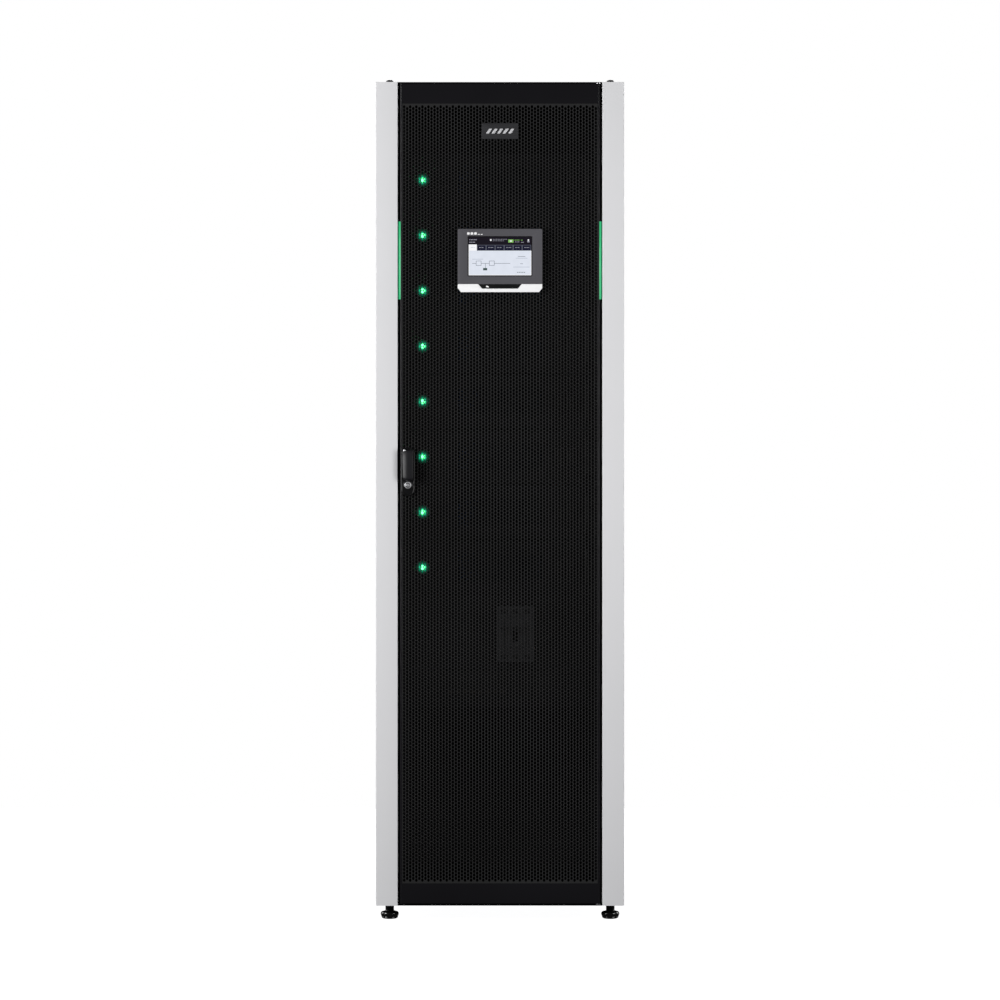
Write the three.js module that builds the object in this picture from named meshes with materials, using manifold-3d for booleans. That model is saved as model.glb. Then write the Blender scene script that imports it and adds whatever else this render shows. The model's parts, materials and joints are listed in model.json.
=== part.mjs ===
// A floor-standing battery cabinet: a folded steel enclosure on four levelling feet, a perforated
// front door with a touch display and a swing-lever latch, and eight rack-mounted battery modules.
// Millimetres, +Z up, front towards -Y. The origin is under the middle of the bounding box.
import * as THREE from "three";
import { mergeVertices } from "three/addons/utils/BufferGeometryUtils.js";
import Module from "manifold-3d";

const wasm = await Module();
wasm.setup();

// ---------------------------------------------------------------- driving dimensions
const WIDTH = 600;
const DEPTH = 1000; // front of the fascias to the back of the rear panel
const BODY_HEIGHT = 1989;
const GROUND_CLEARANCE = 38; // floor to the underside of the base pan
const GAP = 0.3; // between two pieces that rest on each other
const SKIN = 2; // folded sheet steel
const PANEL_SKIN = 1.5; // side panels and module cases

const FASCIA_WIDTH = 53;
const FASCIA_DEPTH = 33.7;
const FASCIA_WALL = 2.5;
const POST_FRONT = 34; // depth at which the frame starts, behind the door
const POST_INNER = 243.5; // half of the clear opening between the front posts
const POST_RETURN = 26;
const FLANGE_HEIGHT = 62; // of the base and roof pans
const HEADER_HEIGHT = 42; // cross member behind the door, at its top and bottom

const DOOR_EDGE = 245; // half width
const DOOR_FRONT = 2; // set back from the fascias
const DOOR_BACK = 32;
const DOOR_BEVEL = 6;
const DOOR_LIP = 12;
const DOOR_GAP_BELOW = 2;
const DOOR_GAP_ABOVE = 1.5;
const WINDOW_HALF = 236.3; // perforated area
const WINDOW_BOTTOM = 91.4;
const WINDOW_TOP = 1975.2;
const SHEET_THICK = 1.5;
const HINGE_X = 238;
const HINGE_Y = 10;
const PIN_RADIUS = 4;

const LIGHT_BAR_CENTRE = 1596.4;
const LIGHT_BAR_LENGTH = 188;

const DISPLAY = { half: 102, top: 1671.5, bottom: 1538.6, front: -10, back: 40 };
const SCREEN = { half: 77, top: 1653, bottom: 1558, depth: 2 };
const TRIM = { bottom: 1519, chamferX: 8, chamferZ: 10, notch: 11, notchTop: 52, notchBottom: 43 };
const BADGE = { half: 44.3, halfHeight: 19.2, z: 1908.2, thick: 3 };

const LATCH_X = -222.3;
const LATCH = { half: 16, top: 1144.3, bottom: 1027.2, front: -4, bossHalf: 12, bossBack: 14 };
const LEVER = { pivotY: -12.2, pivotZ: 1132, end: 1063.5, half: 12, hub: 7.6, front: -20 };
const LOCK = { z: 1053.3, radius: 8.5, front: -9, back: 16 };
const TONGUE = { reach: 19.2, front: 38.5, thick: 3 };

const FOOT_X = 268;
const FOOT_Y = 60; // also the lifting bolts
const FOOT_RADIUS = 20.7;
const BOLT_RADIUS = 9;
const BOLT_HEIGHT = 11;

const RACK_HALF = 241.3; // half of a 19 inch front panel
const RACK_OPENING = 225.5;
const RAIL_FRONT = 100;
const RAIL_REAR = 700;
const RAIL_DEPTH = 50;
const PANEL_THICK = 3;
const MODULES = 8;
const MODULE_PITCH = 135;
const MODULE_TOP_CENTRE = 1798; // height of the first module's centre
const MODULE = { half: 220, height: 130, back: 617 };
const CELL = { width: 50, pitch: 52, perRow: 8, height: 113, front: 270, back: 600 };

const BREAKER = { x: 38, z: 692.5, half: 45, halfHeight: 67.5, front: 42, back: 140 };
const BREAKER_NOSE = { half: 24, halfHeight: 32, front: 36 };
const TOGGLE = { pivotY: 58, hub: 6, half: 6, tip: 21, thick: 8, tilt: 18 };
const BREAKER_PANEL = { bottom: 607.5, top: 784.5 };
const CONTROL_UNIT = { bottom: 513, top: 601, back: 350 };
const BUSBAR = { x: 150, width: 30, thick: 5, y: 640, bottom: 650, stub: 8, reach: 606, lug: 12 };
const GLAND_PLATE = { half: 170, front: 750, back: 930, thick: 3 };
const GLAND_HOLE = { half: 145, front: 770, back: 910 };

// ---------------------------------------------------------------- worked out from them
const BODY_BOTTOM = GROUND_CLEARANCE;
const BODY_TOP = GROUND_CLEARANCE + BODY_HEIGHT;
const SIDE = WIDTH / 2;
const FASCIA_INNER = SIDE - FASCIA_WIDTH;
const LIP_HALF = FASCIA_INNER - GAP;
const FRAME_OUTER = SIDE - PANEL_SKIN - 2.8; // outer face of the corner posts
const FRAME_BACK = DEPTH - SKIN - GAP;
const DOOR_BOTTOM = BODY_BOTTOM + SKIN + DOOR_GAP_BELOW;
const DOOR_TOP = BODY_TOP - SKIN - DOOR_GAP_ABOVE;
const FACE_BACK = DOOR_FRONT - GAP; // back of whatever is mounted on the door's face
const CENTRE_Y = (DEPTH + LEVER.front) / 2;
const ROUND = 24; // sides of a small round piece

// ---------------------------------------------------------------- materials
const paint = (color, roughness, metalness = 0) =>
  new THREE.MeshStandardMaterial({ color, roughness, metalness });
const silver = paint(0xd4d4d8, 0.45, 0.3);
const blackSteel = paint(0x161618, 0.5);
const meshBlack = paint(0x121213, 0.55);
const railBlack = paint(0x1c1c1e, 0.5);
const moduleBlack = paint(0x18181b, 0.55);
const cellBlue = paint(0x2c4a78, 0.4, 0.2);
const copper = paint(0xb8734a, 0.3, 1);
const bezelGrey = paint(0x4c4c51, 0.5);
const screenGlass = paint(0xe2e8f2, 0.15);
const white = paint(0xfafafa, 0.25);
const badgeGrey = paint(0x3a3a3d, 0.4, 0.4);
const glowGreen = new THREE.MeshStandardMaterial({ color: 0x2fc070, emissive: 0x1e9a55 });
const leverBlack = paint(0x1a1a1d, 0.3);
const lockMetal = paint(0xc8c8cc, 0.25, 1);
const footBlack = paint(0x0e0e0f, 0.45);
const boltDark = paint(0x2a2a2c, 0.4, 0.5);
const steel = paint(0x8c8c90, 0.35, 1);
const breakerGrey = paint(0x2b2b2d, 0.5);

// ---------------------------------------------------------------- geometry helpers
// A box from its limits.
function slab(x0, x1, y0, y1, z0, z1) {
  return new THREE.BoxGeometry(x1 - x0, y1 - y0, z1 - z0).translate(
    (x0 + x1) / 2,
    (y0 + y1) / 2,
    (z0 + z1) / 2,
  );
}

// A plan outline (x, y) raised from z0 to z1.
function raise(shape, z0, z1, curveSegments = 6) {
  const options = { depth: z1 - z0, bevelEnabled: false, curveSegments };
  return new THREE.ExtrudeGeometry(shape, options).translate(0, 0, z0);
}

// A front outline (x, z) given thickness from y0 to y1.
function thicken(shape, y0, y1, curveSegments = 6) {
  const options = { depth: y1 - y0, bevelEnabled: false, curveSegments };
  return new THREE.ExtrudeGeometry(shape, options).rotateX(Math.PI / 2).translate(0, y1, 0);
}

// A side outline (y, z) given width from x0 to x1.
function widen(shape, x0, x1, curveSegments = 8) {
  const options = { depth: x1 - x0, bevelEnabled: false, curveSegments };
  const geometry = new THREE.ExtrudeGeometry(shape, options);
  return geometry.rotateY(Math.PI / 2).rotateX(Math.PI / 2).translate(x0, 0, 0);
}

const outline = (...points) => new THREE.Shape(points.map(([a, b]) => new THREE.Vector2(a, b)));

// A round bar along Y, and one along Z.
function barY(radius, x, z, y0, y1, sides = ROUND) {
  return new THREE.CylinderGeometry(radius, radius, y1 - y0, sides).translate(x, (y0 + y1) / 2, z);
}
function barZ(radius, x, y, z0, z1, sides = ROUND) {
  const bar = new THREE.CylinderGeometry(radius, radius, z1 - z0, sides).rotateX(Math.PI / 2);
  return bar.translate(x, y, (z0 + z1) / 2);
}
function barX(radius, y, z, x0, x1, sides = ROUND) {
  const bar = new THREE.CylinderGeometry(radius, radius, x1 - x0, sides).rotateZ(Math.PI / 2);
  return bar.translate((x0 + x1) / 2, y, z);
}

// three.js geometry to a manifold-3d solid, and back. The corners are set on a fine grid, so
// that faces meant to be flush are exactly flush.
const GRID = 1 / 64;
function solid(geometry) {
  const bare = geometry.clone();
  bare.deleteAttribute("normal");
  bare.deleteAttribute("uv");
  const corners = bare.attributes.position.array;
  corners.forEach((value, i) => {
    corners[i] = Math.round(value / GRID) * GRID;
  });
  const merged = mergeVertices(bare, 1e-4);
  return new wasm.Manifold(
    new wasm.Mesh({
      numProp: 3,
      vertProperties: new Float32Array(merged.attributes.position.array),
      triVerts: new Uint32Array(merged.index.array),
    }),
  );
}
function geometryOf(manifold) {
  const mesh = manifold.getMesh();
  const geometry = new THREE.BufferGeometry();
  geometry.setAttribute("position", new THREE.BufferAttribute(mesh.vertProperties, 3));
  geometry.setIndex(new THREE.BufferAttribute(mesh.triVerts, 1));
  geometry.computeVertexNormals();
  return geometry;
}
const together = (geometries) => geometries.map(solid).reduce((sum, each) => sum.add(each));
const join = (...geometries) => geometryOf(together(geometries));
const cut = (base, ...tools) => geometryOf(solid(base).subtract(together(tools)));
const common = (a, b) => geometryOf(solid(a).intersect(solid(b)));

function piece(name, geometry, material) {
  const mesh = new THREE.Mesh(geometry, material);
  mesh.name = name;
  return mesh;
}

const cabinet = new THREE.Group();
cabinet.position.y = -CENTRE_Y;
const sides = [["left", -1], ["right", 1]];
const ends = [["front", FOOT_Y], ["rear", DEPTH - FOOT_Y]];

// ---------------------------------------------------------------- enclosure
// Plate with a narrow lip over or under the door, and flanges on all four sides.
function pan(plateBottom, flangeBottom, flangeTop, headerBottom, headerTop) {
  const plate = outline(
    [-LIP_HALF, DOOR_FRONT + 1], [LIP_HALF, DOOR_FRONT + 1], [LIP_HALF, POST_FRONT],
    [SIDE, POST_FRONT], [SIDE, DEPTH - SKIN], [-SIDE, DEPTH - SKIN],
    [-SIDE, POST_FRONT], [-LIP_HALF, POST_FRONT],
  );
  const flangeIn = SIDE - PANEL_SKIN - GAP - SKIN;
  const flangeOut = SIDE - PANEL_SKIN - GAP;
  const header = slab(
    -POST_INNER + 1, POST_INNER - 1, POST_FRONT, POST_FRONT + SKIN, headerBottom, headerTop,
  );
  return join(
    raise(plate, plateBottom, plateBottom + SKIN),
    slab(-flangeOut, -flangeIn, 100, DEPTH - SKIN, flangeBottom, flangeTop),
    slab(flangeIn, flangeOut, 100, DEPTH - SKIN, flangeBottom, flangeTop),
    slab(-flangeOut, flangeOut, DEPTH - SKIN - SKIN, DEPTH - SKIN, flangeBottom, flangeTop),
    header,
  );
}

function holes(radius, z0, z1) {
  return sides.flatMap(([, s]) => ends.map(([, y]) => barZ(radius, s * FOOT_X, y, z0, z1)));
}

const pinHole = (z0, z1) => barZ(PIN_RADIUS + 0.5, HINGE_X, HINGE_Y, z0, z1);

const basePan = cut(
  pan(
    BODY_BOTTOM, BODY_BOTTOM, BODY_BOTTOM + FLANGE_HEIGHT,
    BODY_BOTTOM, BODY_BOTTOM + HEADER_HEIGHT,
  ),
  ...holes(7, BODY_BOTTOM - 1, BODY_BOTTOM + SKIN + 1),
  pinHole(BODY_BOTTOM - 1, BODY_BOTTOM + SKIN + 1),
);
const roofPan = cut(
  pan(BODY_TOP - SKIN, BODY_TOP - FLANGE_HEIGHT, BODY_TOP, BODY_TOP - HEADER_HEIGHT, BODY_TOP),
  ...holes(7, BODY_TOP - SKIN - 1, BODY_TOP + 1),
  pinHole(BODY_TOP - SKIN - 1, BODY_TOP + 1),
  slab(
    -GLAND_HOLE.half, GLAND_HOLE.half, GLAND_HOLE.front, GLAND_HOLE.back,
    BODY_TOP - SKIN - 1, BODY_TOP + 1,
  ),
);
cabinet.add(piece("base_pan", basePan, blackSteel), piece("roof_pan", roofPan, blackSteel));

// Corner post: a channel that opens into the cabinet.
function corner(side, y, into) {
  const face = (x) => side * x;
  const deep = (d) => y + into * d;
  const inner = POST_INNER;
  const outer = FRAME_OUTER;
  const shape = outline(
    [face(inner), deep(0)], [face(outer), deep(0)], [face(outer), deep(56)],
    [face(outer - SKIN), deep(56)], [face(outer - SKIN), deep(SKIN)],
    [face(inner + SKIN), deep(SKIN)], [face(inner + SKIN), deep(POST_RETURN)],
    [face(inner), deep(POST_RETURN)],
  );
  return raise(shape, BODY_BOTTOM + SKIN + GAP, BODY_TOP - SKIN - GAP);
}
for (const [sideName, s] of sides) {
  const front = corner(s, POST_FRONT, 1);
  const rear = corner(s, FRAME_BACK - SKIN, -1);
  cabinet.add(piece(`corner_post_front_${sideName}`, front, blackSteel));
  cabinet.add(piece(`corner_post_rear_${sideName}`, rear, blackSteel));
}

// Flat side panels and rear panel, screwed to the frame.
for (const [sideName, s] of sides) {
  const near = s * (SIDE - PANEL_SKIN);
  const panel = slab(
    Math.min(near, s * SIDE), Math.max(near, s * SIDE), POST_FRONT + GAP, DEPTH - SKIN,
    BODY_BOTTOM + SKIN + GAP, BODY_TOP - SKIN - GAP,
  );
  cabinet.add(piece(`side_panel_${sideName}`, panel, blackSteel));
}
const rearPanel = slab(
  -SIDE + 1, SIDE - 1, DEPTH - SKIN + GAP, DEPTH, BODY_BOTTOM + 4, BODY_TOP - 4,
);
cabinet.add(piece("rear_panel", rearPanel, blackSteel));

// Extruded fascia: a channel with rounded front corners, open at the back.
function fascia(side) {
  const inner = FASCIA_INNER;
  const outer = SIDE;
  const round = 4;
  const shape = new THREE.Shape();
  shape.moveTo(inner, FASCIA_DEPTH);
  shape.lineTo(inner, round);
  shape.absarc(inner + round, round, round, Math.PI, 1.5 * Math.PI, false);
  shape.lineTo(outer - round, 0);
  shape.absarc(outer - round, round, round, 1.5 * Math.PI, 2 * Math.PI, false);
  shape.lineTo(outer, FASCIA_DEPTH);
  shape.lineTo(outer - FASCIA_WALL, FASCIA_DEPTH);
  shape.lineTo(outer - FASCIA_WALL, FASCIA_WALL);
  shape.lineTo(inner + FASCIA_WALL, FASCIA_WALL);
  shape.lineTo(inner + FASCIA_WALL, FASCIA_DEPTH);
  shape.closePath();
  const flipped = new THREE.Shape(shape.getPoints(5).map((p) => new THREE.Vector2(side * p.x, p.y)));
  return raise(flipped, BODY_BOTTOM, BODY_TOP);
}
for (const [sideName, s] of sides) {
  cabinet.add(piece(`fascia_${sideName}`, fascia(s), silver));
}

// Roof gland plate over the cable cut-out, and the domed lifting bolts.
const glandPlate = slab(
  -GLAND_PLATE.half, GLAND_PLATE.half, GLAND_PLATE.front, GLAND_PLATE.back,
  BODY_TOP + GAP, BODY_TOP + GAP + GLAND_PLATE.thick,
);
cabinet.add(piece("roof_gland_plate", glandPlate, blackSteel));

function turned(points, segments = ROUND) {
  const profile = points.map(([r, z]) => new THREE.Vector2(r, z));
  return new THREE.LatheGeometry(profile, segments).rotateX(Math.PI / 2);
}
for (const [sideName, s] of sides) {
  for (const [endName, y] of ends) {
    const bolt = turned([
      [0, -22], [5.5, -22], [5.5, GAP], [BOLT_RADIUS, GAP], [BOLT_RADIUS, BOLT_HEIGHT * 0.55],
      [BOLT_RADIUS * 0.72, BOLT_HEIGHT * 0.9], [0, BOLT_HEIGHT],
    ], 20);
    const mesh = piece(`lifting_bolt_${endName}_${sideName}`, bolt, boltDark);
    mesh.position.set(s * FOOT_X, y, BODY_TOP);
    cabinet.add(mesh);
  }
}

// Levelling foot: pad, collar that bears on the base pan, and threaded stud.
for (const [sideName, s] of sides) {
  for (const [endName, y] of ends) {
    const foot = turned([
      [0, 0], [FOOT_RADIUS - 3, 0], [FOOT_RADIUS, 3.5], [FOOT_RADIUS, 12],
      [FOOT_RADIUS - 3, 17], [10.2, 20], [10.2, BODY_BOTTOM - GAP],
      [6, BODY_BOTTOM - GAP], [6, BODY_BOTTOM + 45], [0, BODY_BOTTOM + 45],
    ]);
    const mesh = piece(`levelling_foot_${endName}_${sideName}`, foot, footBlack);
    mesh.position.set(s * FOOT_X, y, 0);
    cabinet.add(mesh);
  }
}

// ---------------------------------------------------------------- rack and battery modules
function rail(side, y, into) {
  const shape = outline(
    [side * RACK_OPENING, y], [side * (POST_INNER - 0.5), y],
    [side * (POST_INNER - 0.5), y + into * RAIL_DEPTH],
    [side * (POST_INNER - 0.5 - SKIN), y + into * RAIL_DEPTH],
    [side * (POST_INNER - 0.5 - SKIN), y + into * SKIN], [side * RACK_OPENING, y + into * SKIN],
  );
  return raise(shape, BODY_BOTTOM + FLANGE_HEIGHT + 4, BODY_TOP - FLANGE_HEIGHT - 4);
}
for (const [sideName, s] of sides) {
  cabinet.add(piece(`rack_rail_front_${sideName}`, rail(s, RAIL_FRONT, 1), railBlack));
  cabinet.add(piece(`rack_rail_rear_${sideName}`, rail(s, RAIL_REAR, -1), railBlack));
}

const PANEL_FRONT = RAIL_FRONT - GAP - PANEL_THICK;
const PANEL_BACK = RAIL_FRONT - GAP;

// Case of one module, about its own centre height: rack front panel and folded box in one,
// with vent slots in the front and two terminal openings in the back.
function moduleCase() {
  const h = MODULE.height / 2;
  const inner = MODULE.half - PANEL_SKIN;
  const slots = [-2, -1, 0, 1, 2].map((i) =>
    slab(-120, 120, PANEL_FRONT - 1, PANEL_BACK + 1, i * 20 - 4, i * 20 + 4));
  const terminals = sides.map(([, s]) =>
    slab(
      s * BUSBAR.x - 18, s * BUSBAR.x + 18, MODULE.back - 5, MODULE.back + 1,
      -BUSBAR.stub, BUSBAR.stub,
    ));
  return cut(
    join(
      slab(-RACK_HALF, RACK_HALF, PANEL_FRONT, PANEL_BACK, -h, h),
      slab(-MODULE.half, MODULE.half, PANEL_BACK - 1, MODULE.back, -h, h),
    ),
    slab(
      -inner, inner, PANEL_BACK, MODULE.back - PANEL_SKIN, -h + PANEL_SKIN, h - PANEL_SKIN,
    ),
    ...slots,
    ...terminals,
  );
}

// Cell block of one module: prismatic cells side by side on a common tray.
function cellBlock() {
  const bottom = -MODULE.height / 2 + PANEL_SKIN + GAP;
  const end = (CELL.perRow * CELL.pitch) / 2;
  const teeth = [];
  for (let i = 0; i < CELL.perRow; i++) {
    const x = -end + CELL.pitch * (i + 0.5);
    teeth.push(
      [x - CELL.width / 2, bottom + 2], [x - CELL.width / 2, bottom + 2 + CELL.height],
      [x + CELL.width / 2, bottom + 2 + CELL.height], [x + CELL.width / 2, bottom + 2],
    );
  }
  return thicken(outline([-end, bottom], ...teeth.slice(1, -1), [end, bottom]), CELL.front, CELL.back);
}

for (let i = 0; i < MODULES; i++) {
  const module = new THREE.Group();
  module.position.z = MODULE_TOP_CENTRE - MODULE_PITCH * i;
  module.add(piece(`battery_module_${i + 1}_case`, moduleCase(), moduleBlack));
  module.add(piece(`battery_module_${i + 1}_cells`, cellBlock(), cellBlue));
  cabinet.add(module);
}

// Busbars: one vertical bar per pole with a stub to each module, a run forward under the modules
// and a cross run that ends on the back of the main breaker.
function busbar(side) {
  const half = BUSBAR.width / 2;
  const x = side * BUSBAR.x;
  const lug = BREAKER.x + side * BUSBAR.lug;
  const front = BREAKER.back + GAP;
  const runTop = BUSBAR.bottom + BUSBAR.thick;
  const stubs = [];
  for (let i = 0; i < MODULES; i++) {
    const z = MODULE_TOP_CENTRE - MODULE_PITCH * i;
    stubs.push(slab(x - 10, x + 10, BUSBAR.reach, BUSBAR.y + 1, z - 4, z + 4));
  }
  return join(
    slab(
      x - half, x + half, BUSBAR.y, BUSBAR.y + BUSBAR.thick, BUSBAR.bottom, MODULE_TOP_CENTRE + half,
    ),
    slab(x - half, x + half, front, BUSBAR.y + BUSBAR.thick, BUSBAR.bottom, runTop),
    slab(Math.min(x, lug), Math.max(x, lug), front, front + BUSBAR.width, BUSBAR.bottom, runTop),
    ...stubs,
  );
}
cabinet.add(piece("busbar_positive", busbar(1), copper));
cabinet.add(piece("busbar_negative", busbar(-1), copper));

// Breaker panel, main breaker and its toggle, and the control unit below.
const breakerPanel = cut(
  slab(-RACK_HALF, RACK_HALF, PANEL_FRONT, PANEL_BACK, BREAKER_PANEL.bottom, BREAKER_PANEL.top),
  slab(
    BREAKER.x - BREAKER.half - 1, BREAKER.x + BREAKER.half + 1, PANEL_FRONT - 1, PANEL_BACK + 1,
    BREAKER.z - BREAKER.halfHeight - 1, BREAKER.z + BREAKER.halfHeight + 1,
  ),
);
cabinet.add(piece("breaker_panel", breakerPanel, moduleBlack));

const breakerBody = cut(
  join(
    slab(
      BREAKER.x - BREAKER.half, BREAKER.x + BREAKER.half, BREAKER.front, BREAKER.back,
      BREAKER.z - BREAKER.halfHeight, BREAKER.z + BREAKER.halfHeight,
    ),
    slab(
      BREAKER.x - BREAKER_NOSE.half, BREAKER.x + BREAKER_NOSE.half,
      BREAKER_NOSE.front, BREAKER.front + 1,
      BREAKER.z - BREAKER_NOSE.halfHeight, BREAKER.z + BREAKER_NOSE.halfHeight,
    ),
  ),
  slab(
    BREAKER.x - TOGGLE.half - 1, BREAKER.x + TOGGLE.half + 1, BREAKER_NOSE.front - 1, 72,
    BREAKER.z - 18, BREAKER.z + 18,
  ),
);
cabinet.add(piece("breaker_body", breakerBody, breakerGrey));

const toggle = join(
  barX(TOGGLE.hub, 0, 0, -TOGGLE.half, TOGGLE.half, 20),
  slab(
    -TOGGLE.half, TOGGLE.half, TOGGLE.tip - TOGGLE.pivotY, 0, -TOGGLE.thick / 2, TOGGLE.thick / 2,
  ),
);
const toggleMesh = piece("breaker_toggle", toggle, leverBlack);
toggleMesh.position.set(BREAKER.x, TOGGLE.pivotY, BREAKER.z);
toggleMesh.rotation.x = THREE.MathUtils.degToRad(-TOGGLE.tilt);
cabinet.add(toggleMesh);

const controlUnit = cut(
  join(
    slab(
      -RACK_HALF, RACK_HALF, PANEL_FRONT, PANEL_BACK, CONTROL_UNIT.bottom, CONTROL_UNIT.top,
    ),
    slab(
      -MODULE.half, MODULE.half, PANEL_BACK - 1, CONTROL_UNIT.back,
      CONTROL_UNIT.bottom + 2, CONTROL_UNIT.top - 2,
    ),
  ),
  slab(
    -MODULE.half + SKIN, MODULE.half - SKIN, PANEL_BACK, CONTROL_UNIT.back - SKIN,
    CONTROL_UNIT.bottom + 4, CONTROL_UNIT.top - 4,
  ),
  slab(-60, 60, CONTROL_UNIT.back - 5, CONTROL_UNIT.back + 1, 545, 569),
);
cabinet.add(piece("control_unit", controlUnit, moduleBlack));

// ---------------------------------------------------------------- door
const door = new THREE.Group();
cabinet.add(door);

// Plan outline of the door, drawn in by `inset`.
function doorPlan(inset) {
  const edge = DOOR_EDGE - inset;
  const front = DOOR_FRONT + inset;
  const back = DOOR_BACK - inset;
  const bevel = DOOR_BEVEL - inset * (2 - Math.SQRT2);
  return outline(
    [-edge + bevel, front], [edge - bevel, front], [edge, front + bevel], [edge, back],
    [-edge, back], [-edge, front + bevel],
  );
}
const doorFrame = cut(
  raise(doorPlan(0), DOOR_BOTTOM, DOOR_TOP),
  raise(doorPlan(SKIN), DOOR_BOTTOM + SKIN, DOOR_TOP - SKIN),
  slab(
    -DOOR_EDGE + SKIN + DOOR_LIP, DOOR_EDGE - SKIN - DOOR_LIP, DOOR_BACK - SKIN - 1, DOOR_BACK + 1,
    DOOR_BOTTOM + SKIN + DOOR_LIP, DOOR_TOP - SKIN - DOOR_LIP,
  ),
  slab(
    -WINDOW_HALF, WINDOW_HALF, DOOR_FRONT - 1, DOOR_FRONT + SKIN + 1, WINDOW_BOTTOM, WINDOW_TOP,
  ),
  pinHole(DOOR_BOTTOM - 1, DOOR_BOTTOM + SKIN + 1),
  pinHole(DOOR_TOP - SKIN - 1, DOOR_TOP + 1),
);
door.add(piece("door_frame", doorFrame, blackSteel));

const latchSlotBottom = LATCH.bottom + 8;
const latchSlotTop = LATCH.top - 4;
const doorSheet = cut(
  slab(
    -WINDOW_HALF + GAP, WINDOW_HALF - GAP, DOOR_FRONT, DOOR_FRONT + SHEET_THICK,
    WINDOW_BOTTOM + GAP, WINDOW_TOP - GAP,
  ),
  slab(-95, 95, DOOR_FRONT - 1, DOOR_FRONT + SKIN + 1, 1545, 1665),
  slab(
    LATCH_X - LATCH.bossHalf - 0.5, LATCH_X + LATCH.bossHalf + 0.5,
    DOOR_FRONT - 1, DOOR_FRONT + SKIN + 1, latchSlotBottom - 0.5, latchSlotTop + 0.5,
  ),
);
door.add(piece("door_sheet", doorSheet, meshBlack));

// Light bar: fills the bevelled edge of the door out to a quarter round about the hinge line.
function lightBar(side) {
  const shape = new THREE.Shape();
  const radius = Math.hypot(DOOR_EDGE - DOOR_BEVEL - HINGE_X, HINGE_Y - DOOR_FRONT);
  const from = Math.atan2(DOOR_FRONT - HINGE_Y, DOOR_EDGE - DOOR_BEVEL - HINGE_X + 0.6);
  const to = -Math.acos((DOOR_EDGE - HINGE_X) / radius);
  shape.absarc(HINGE_X, HINGE_Y, radius, from, to, false);
  shape.lineTo(DOOR_EDGE, DOOR_FRONT + DOOR_BEVEL - 0.6);
  shape.closePath();
  const flipped = new THREE.Shape(shape.getPoints(6).map((p) => new THREE.Vector2(side * p.x, p.y)));
  const half = LIGHT_BAR_LENGTH / 2;
  return raise(flipped, LIGHT_BAR_CENTRE - half, LIGHT_BAR_CENTRE + half);
}
for (const [sideName, s] of sides) {
  door.add(piece(`light_bar_${sideName}`, lightBar(s), glowGreen));
}

// Hinge pins, fixed in the lips of the two pans, with a collar between lip and door.
const lowerPin = join(
  barZ(PIN_RADIUS, HINGE_X, HINGE_Y, BODY_BOTTOM + 0.2, DOOR_BOTTOM + 14, 20),
  barZ(7, HINGE_X, HINGE_Y, BODY_BOTTOM + SKIN + 0.2, DOOR_BOTTOM - GAP, 20),
);
const upperPin = join(
  barZ(PIN_RADIUS, HINGE_X, HINGE_Y, DOOR_TOP - 14, BODY_TOP - 0.2, 20),
  barZ(7, HINGE_X, HINGE_Y, DOOR_TOP + GAP, BODY_TOP - SKIN - 0.2, 20),
);
cabinet.add(piece("hinge_pin_lower", lowerPin, steel), piece("hinge_pin_upper", upperPin, steel));

// Display: housing with a tongue that drops into the white trim, screen and trim.
const housingFront = outline(
  [-DISPLAY.half, DISPLAY.top], [-DISPLAY.half, DISPLAY.bottom], [-TRIM.notchTop, DISPLAY.bottom],
  [-TRIM.notchBottom, DISPLAY.bottom - TRIM.notch], [TRIM.notchBottom, DISPLAY.bottom - TRIM.notch],
  [TRIM.notchTop, DISPLAY.bottom], [DISPLAY.half, DISPLAY.bottom], [DISPLAY.half, DISPLAY.top],
);
const displayHousing = cut(
  join(
    thicken(housingFront, DISPLAY.front, FACE_BACK),
    slab(-94, 94, FACE_BACK - 1, DISPLAY.back, 1546, 1664),
  ),
  slab(
    -SCREEN.half, SCREEN.half, DISPLAY.front - 1, DISPLAY.front + SCREEN.depth,
    SCREEN.bottom, SCREEN.top,
  ),
);
const displayScreen = slab(
  -SCREEN.half + GAP, SCREEN.half - GAP, DISPLAY.front + 0.5, DISPLAY.front + SCREEN.depth - GAP,
  SCREEN.bottom + GAP, SCREEN.top - GAP,
);
const trimTop = DISPLAY.bottom - GAP;
const trimFront = outline(
  [-DISPLAY.half, trimTop], [-DISPLAY.half, TRIM.bottom + TRIM.chamferZ],
  [-DISPLAY.half + TRIM.chamferX, TRIM.bottom], [DISPLAY.half - TRIM.chamferX, TRIM.bottom],
  [DISPLAY.half, TRIM.bottom + TRIM.chamferZ], [DISPLAY.half, trimTop],
  [TRIM.notchTop + 0.5, trimTop], [TRIM.notchBottom + 0.5, trimTop - TRIM.notch],
  [-TRIM.notchBottom - 0.5, trimTop - TRIM.notch], [-TRIM.notchTop - 0.5, trimTop],
);
door.add(
  piece("display_housing", displayHousing, bezelGrey),
  piece("display_screen", displayScreen, screenGlass),
  piece("display_trim", thicken(trimFront, DISPLAY.front, FACE_BACK), white),
);

const badge = slab(
  -BADGE.half, BADGE.half, FACE_BACK - BADGE.thick, FACE_BACK,
  BADGE.z - BADGE.halfHeight, BADGE.z + BADGE.halfHeight,
);
door.add(piece("badge_plate", badge, badgeGrey));

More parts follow.
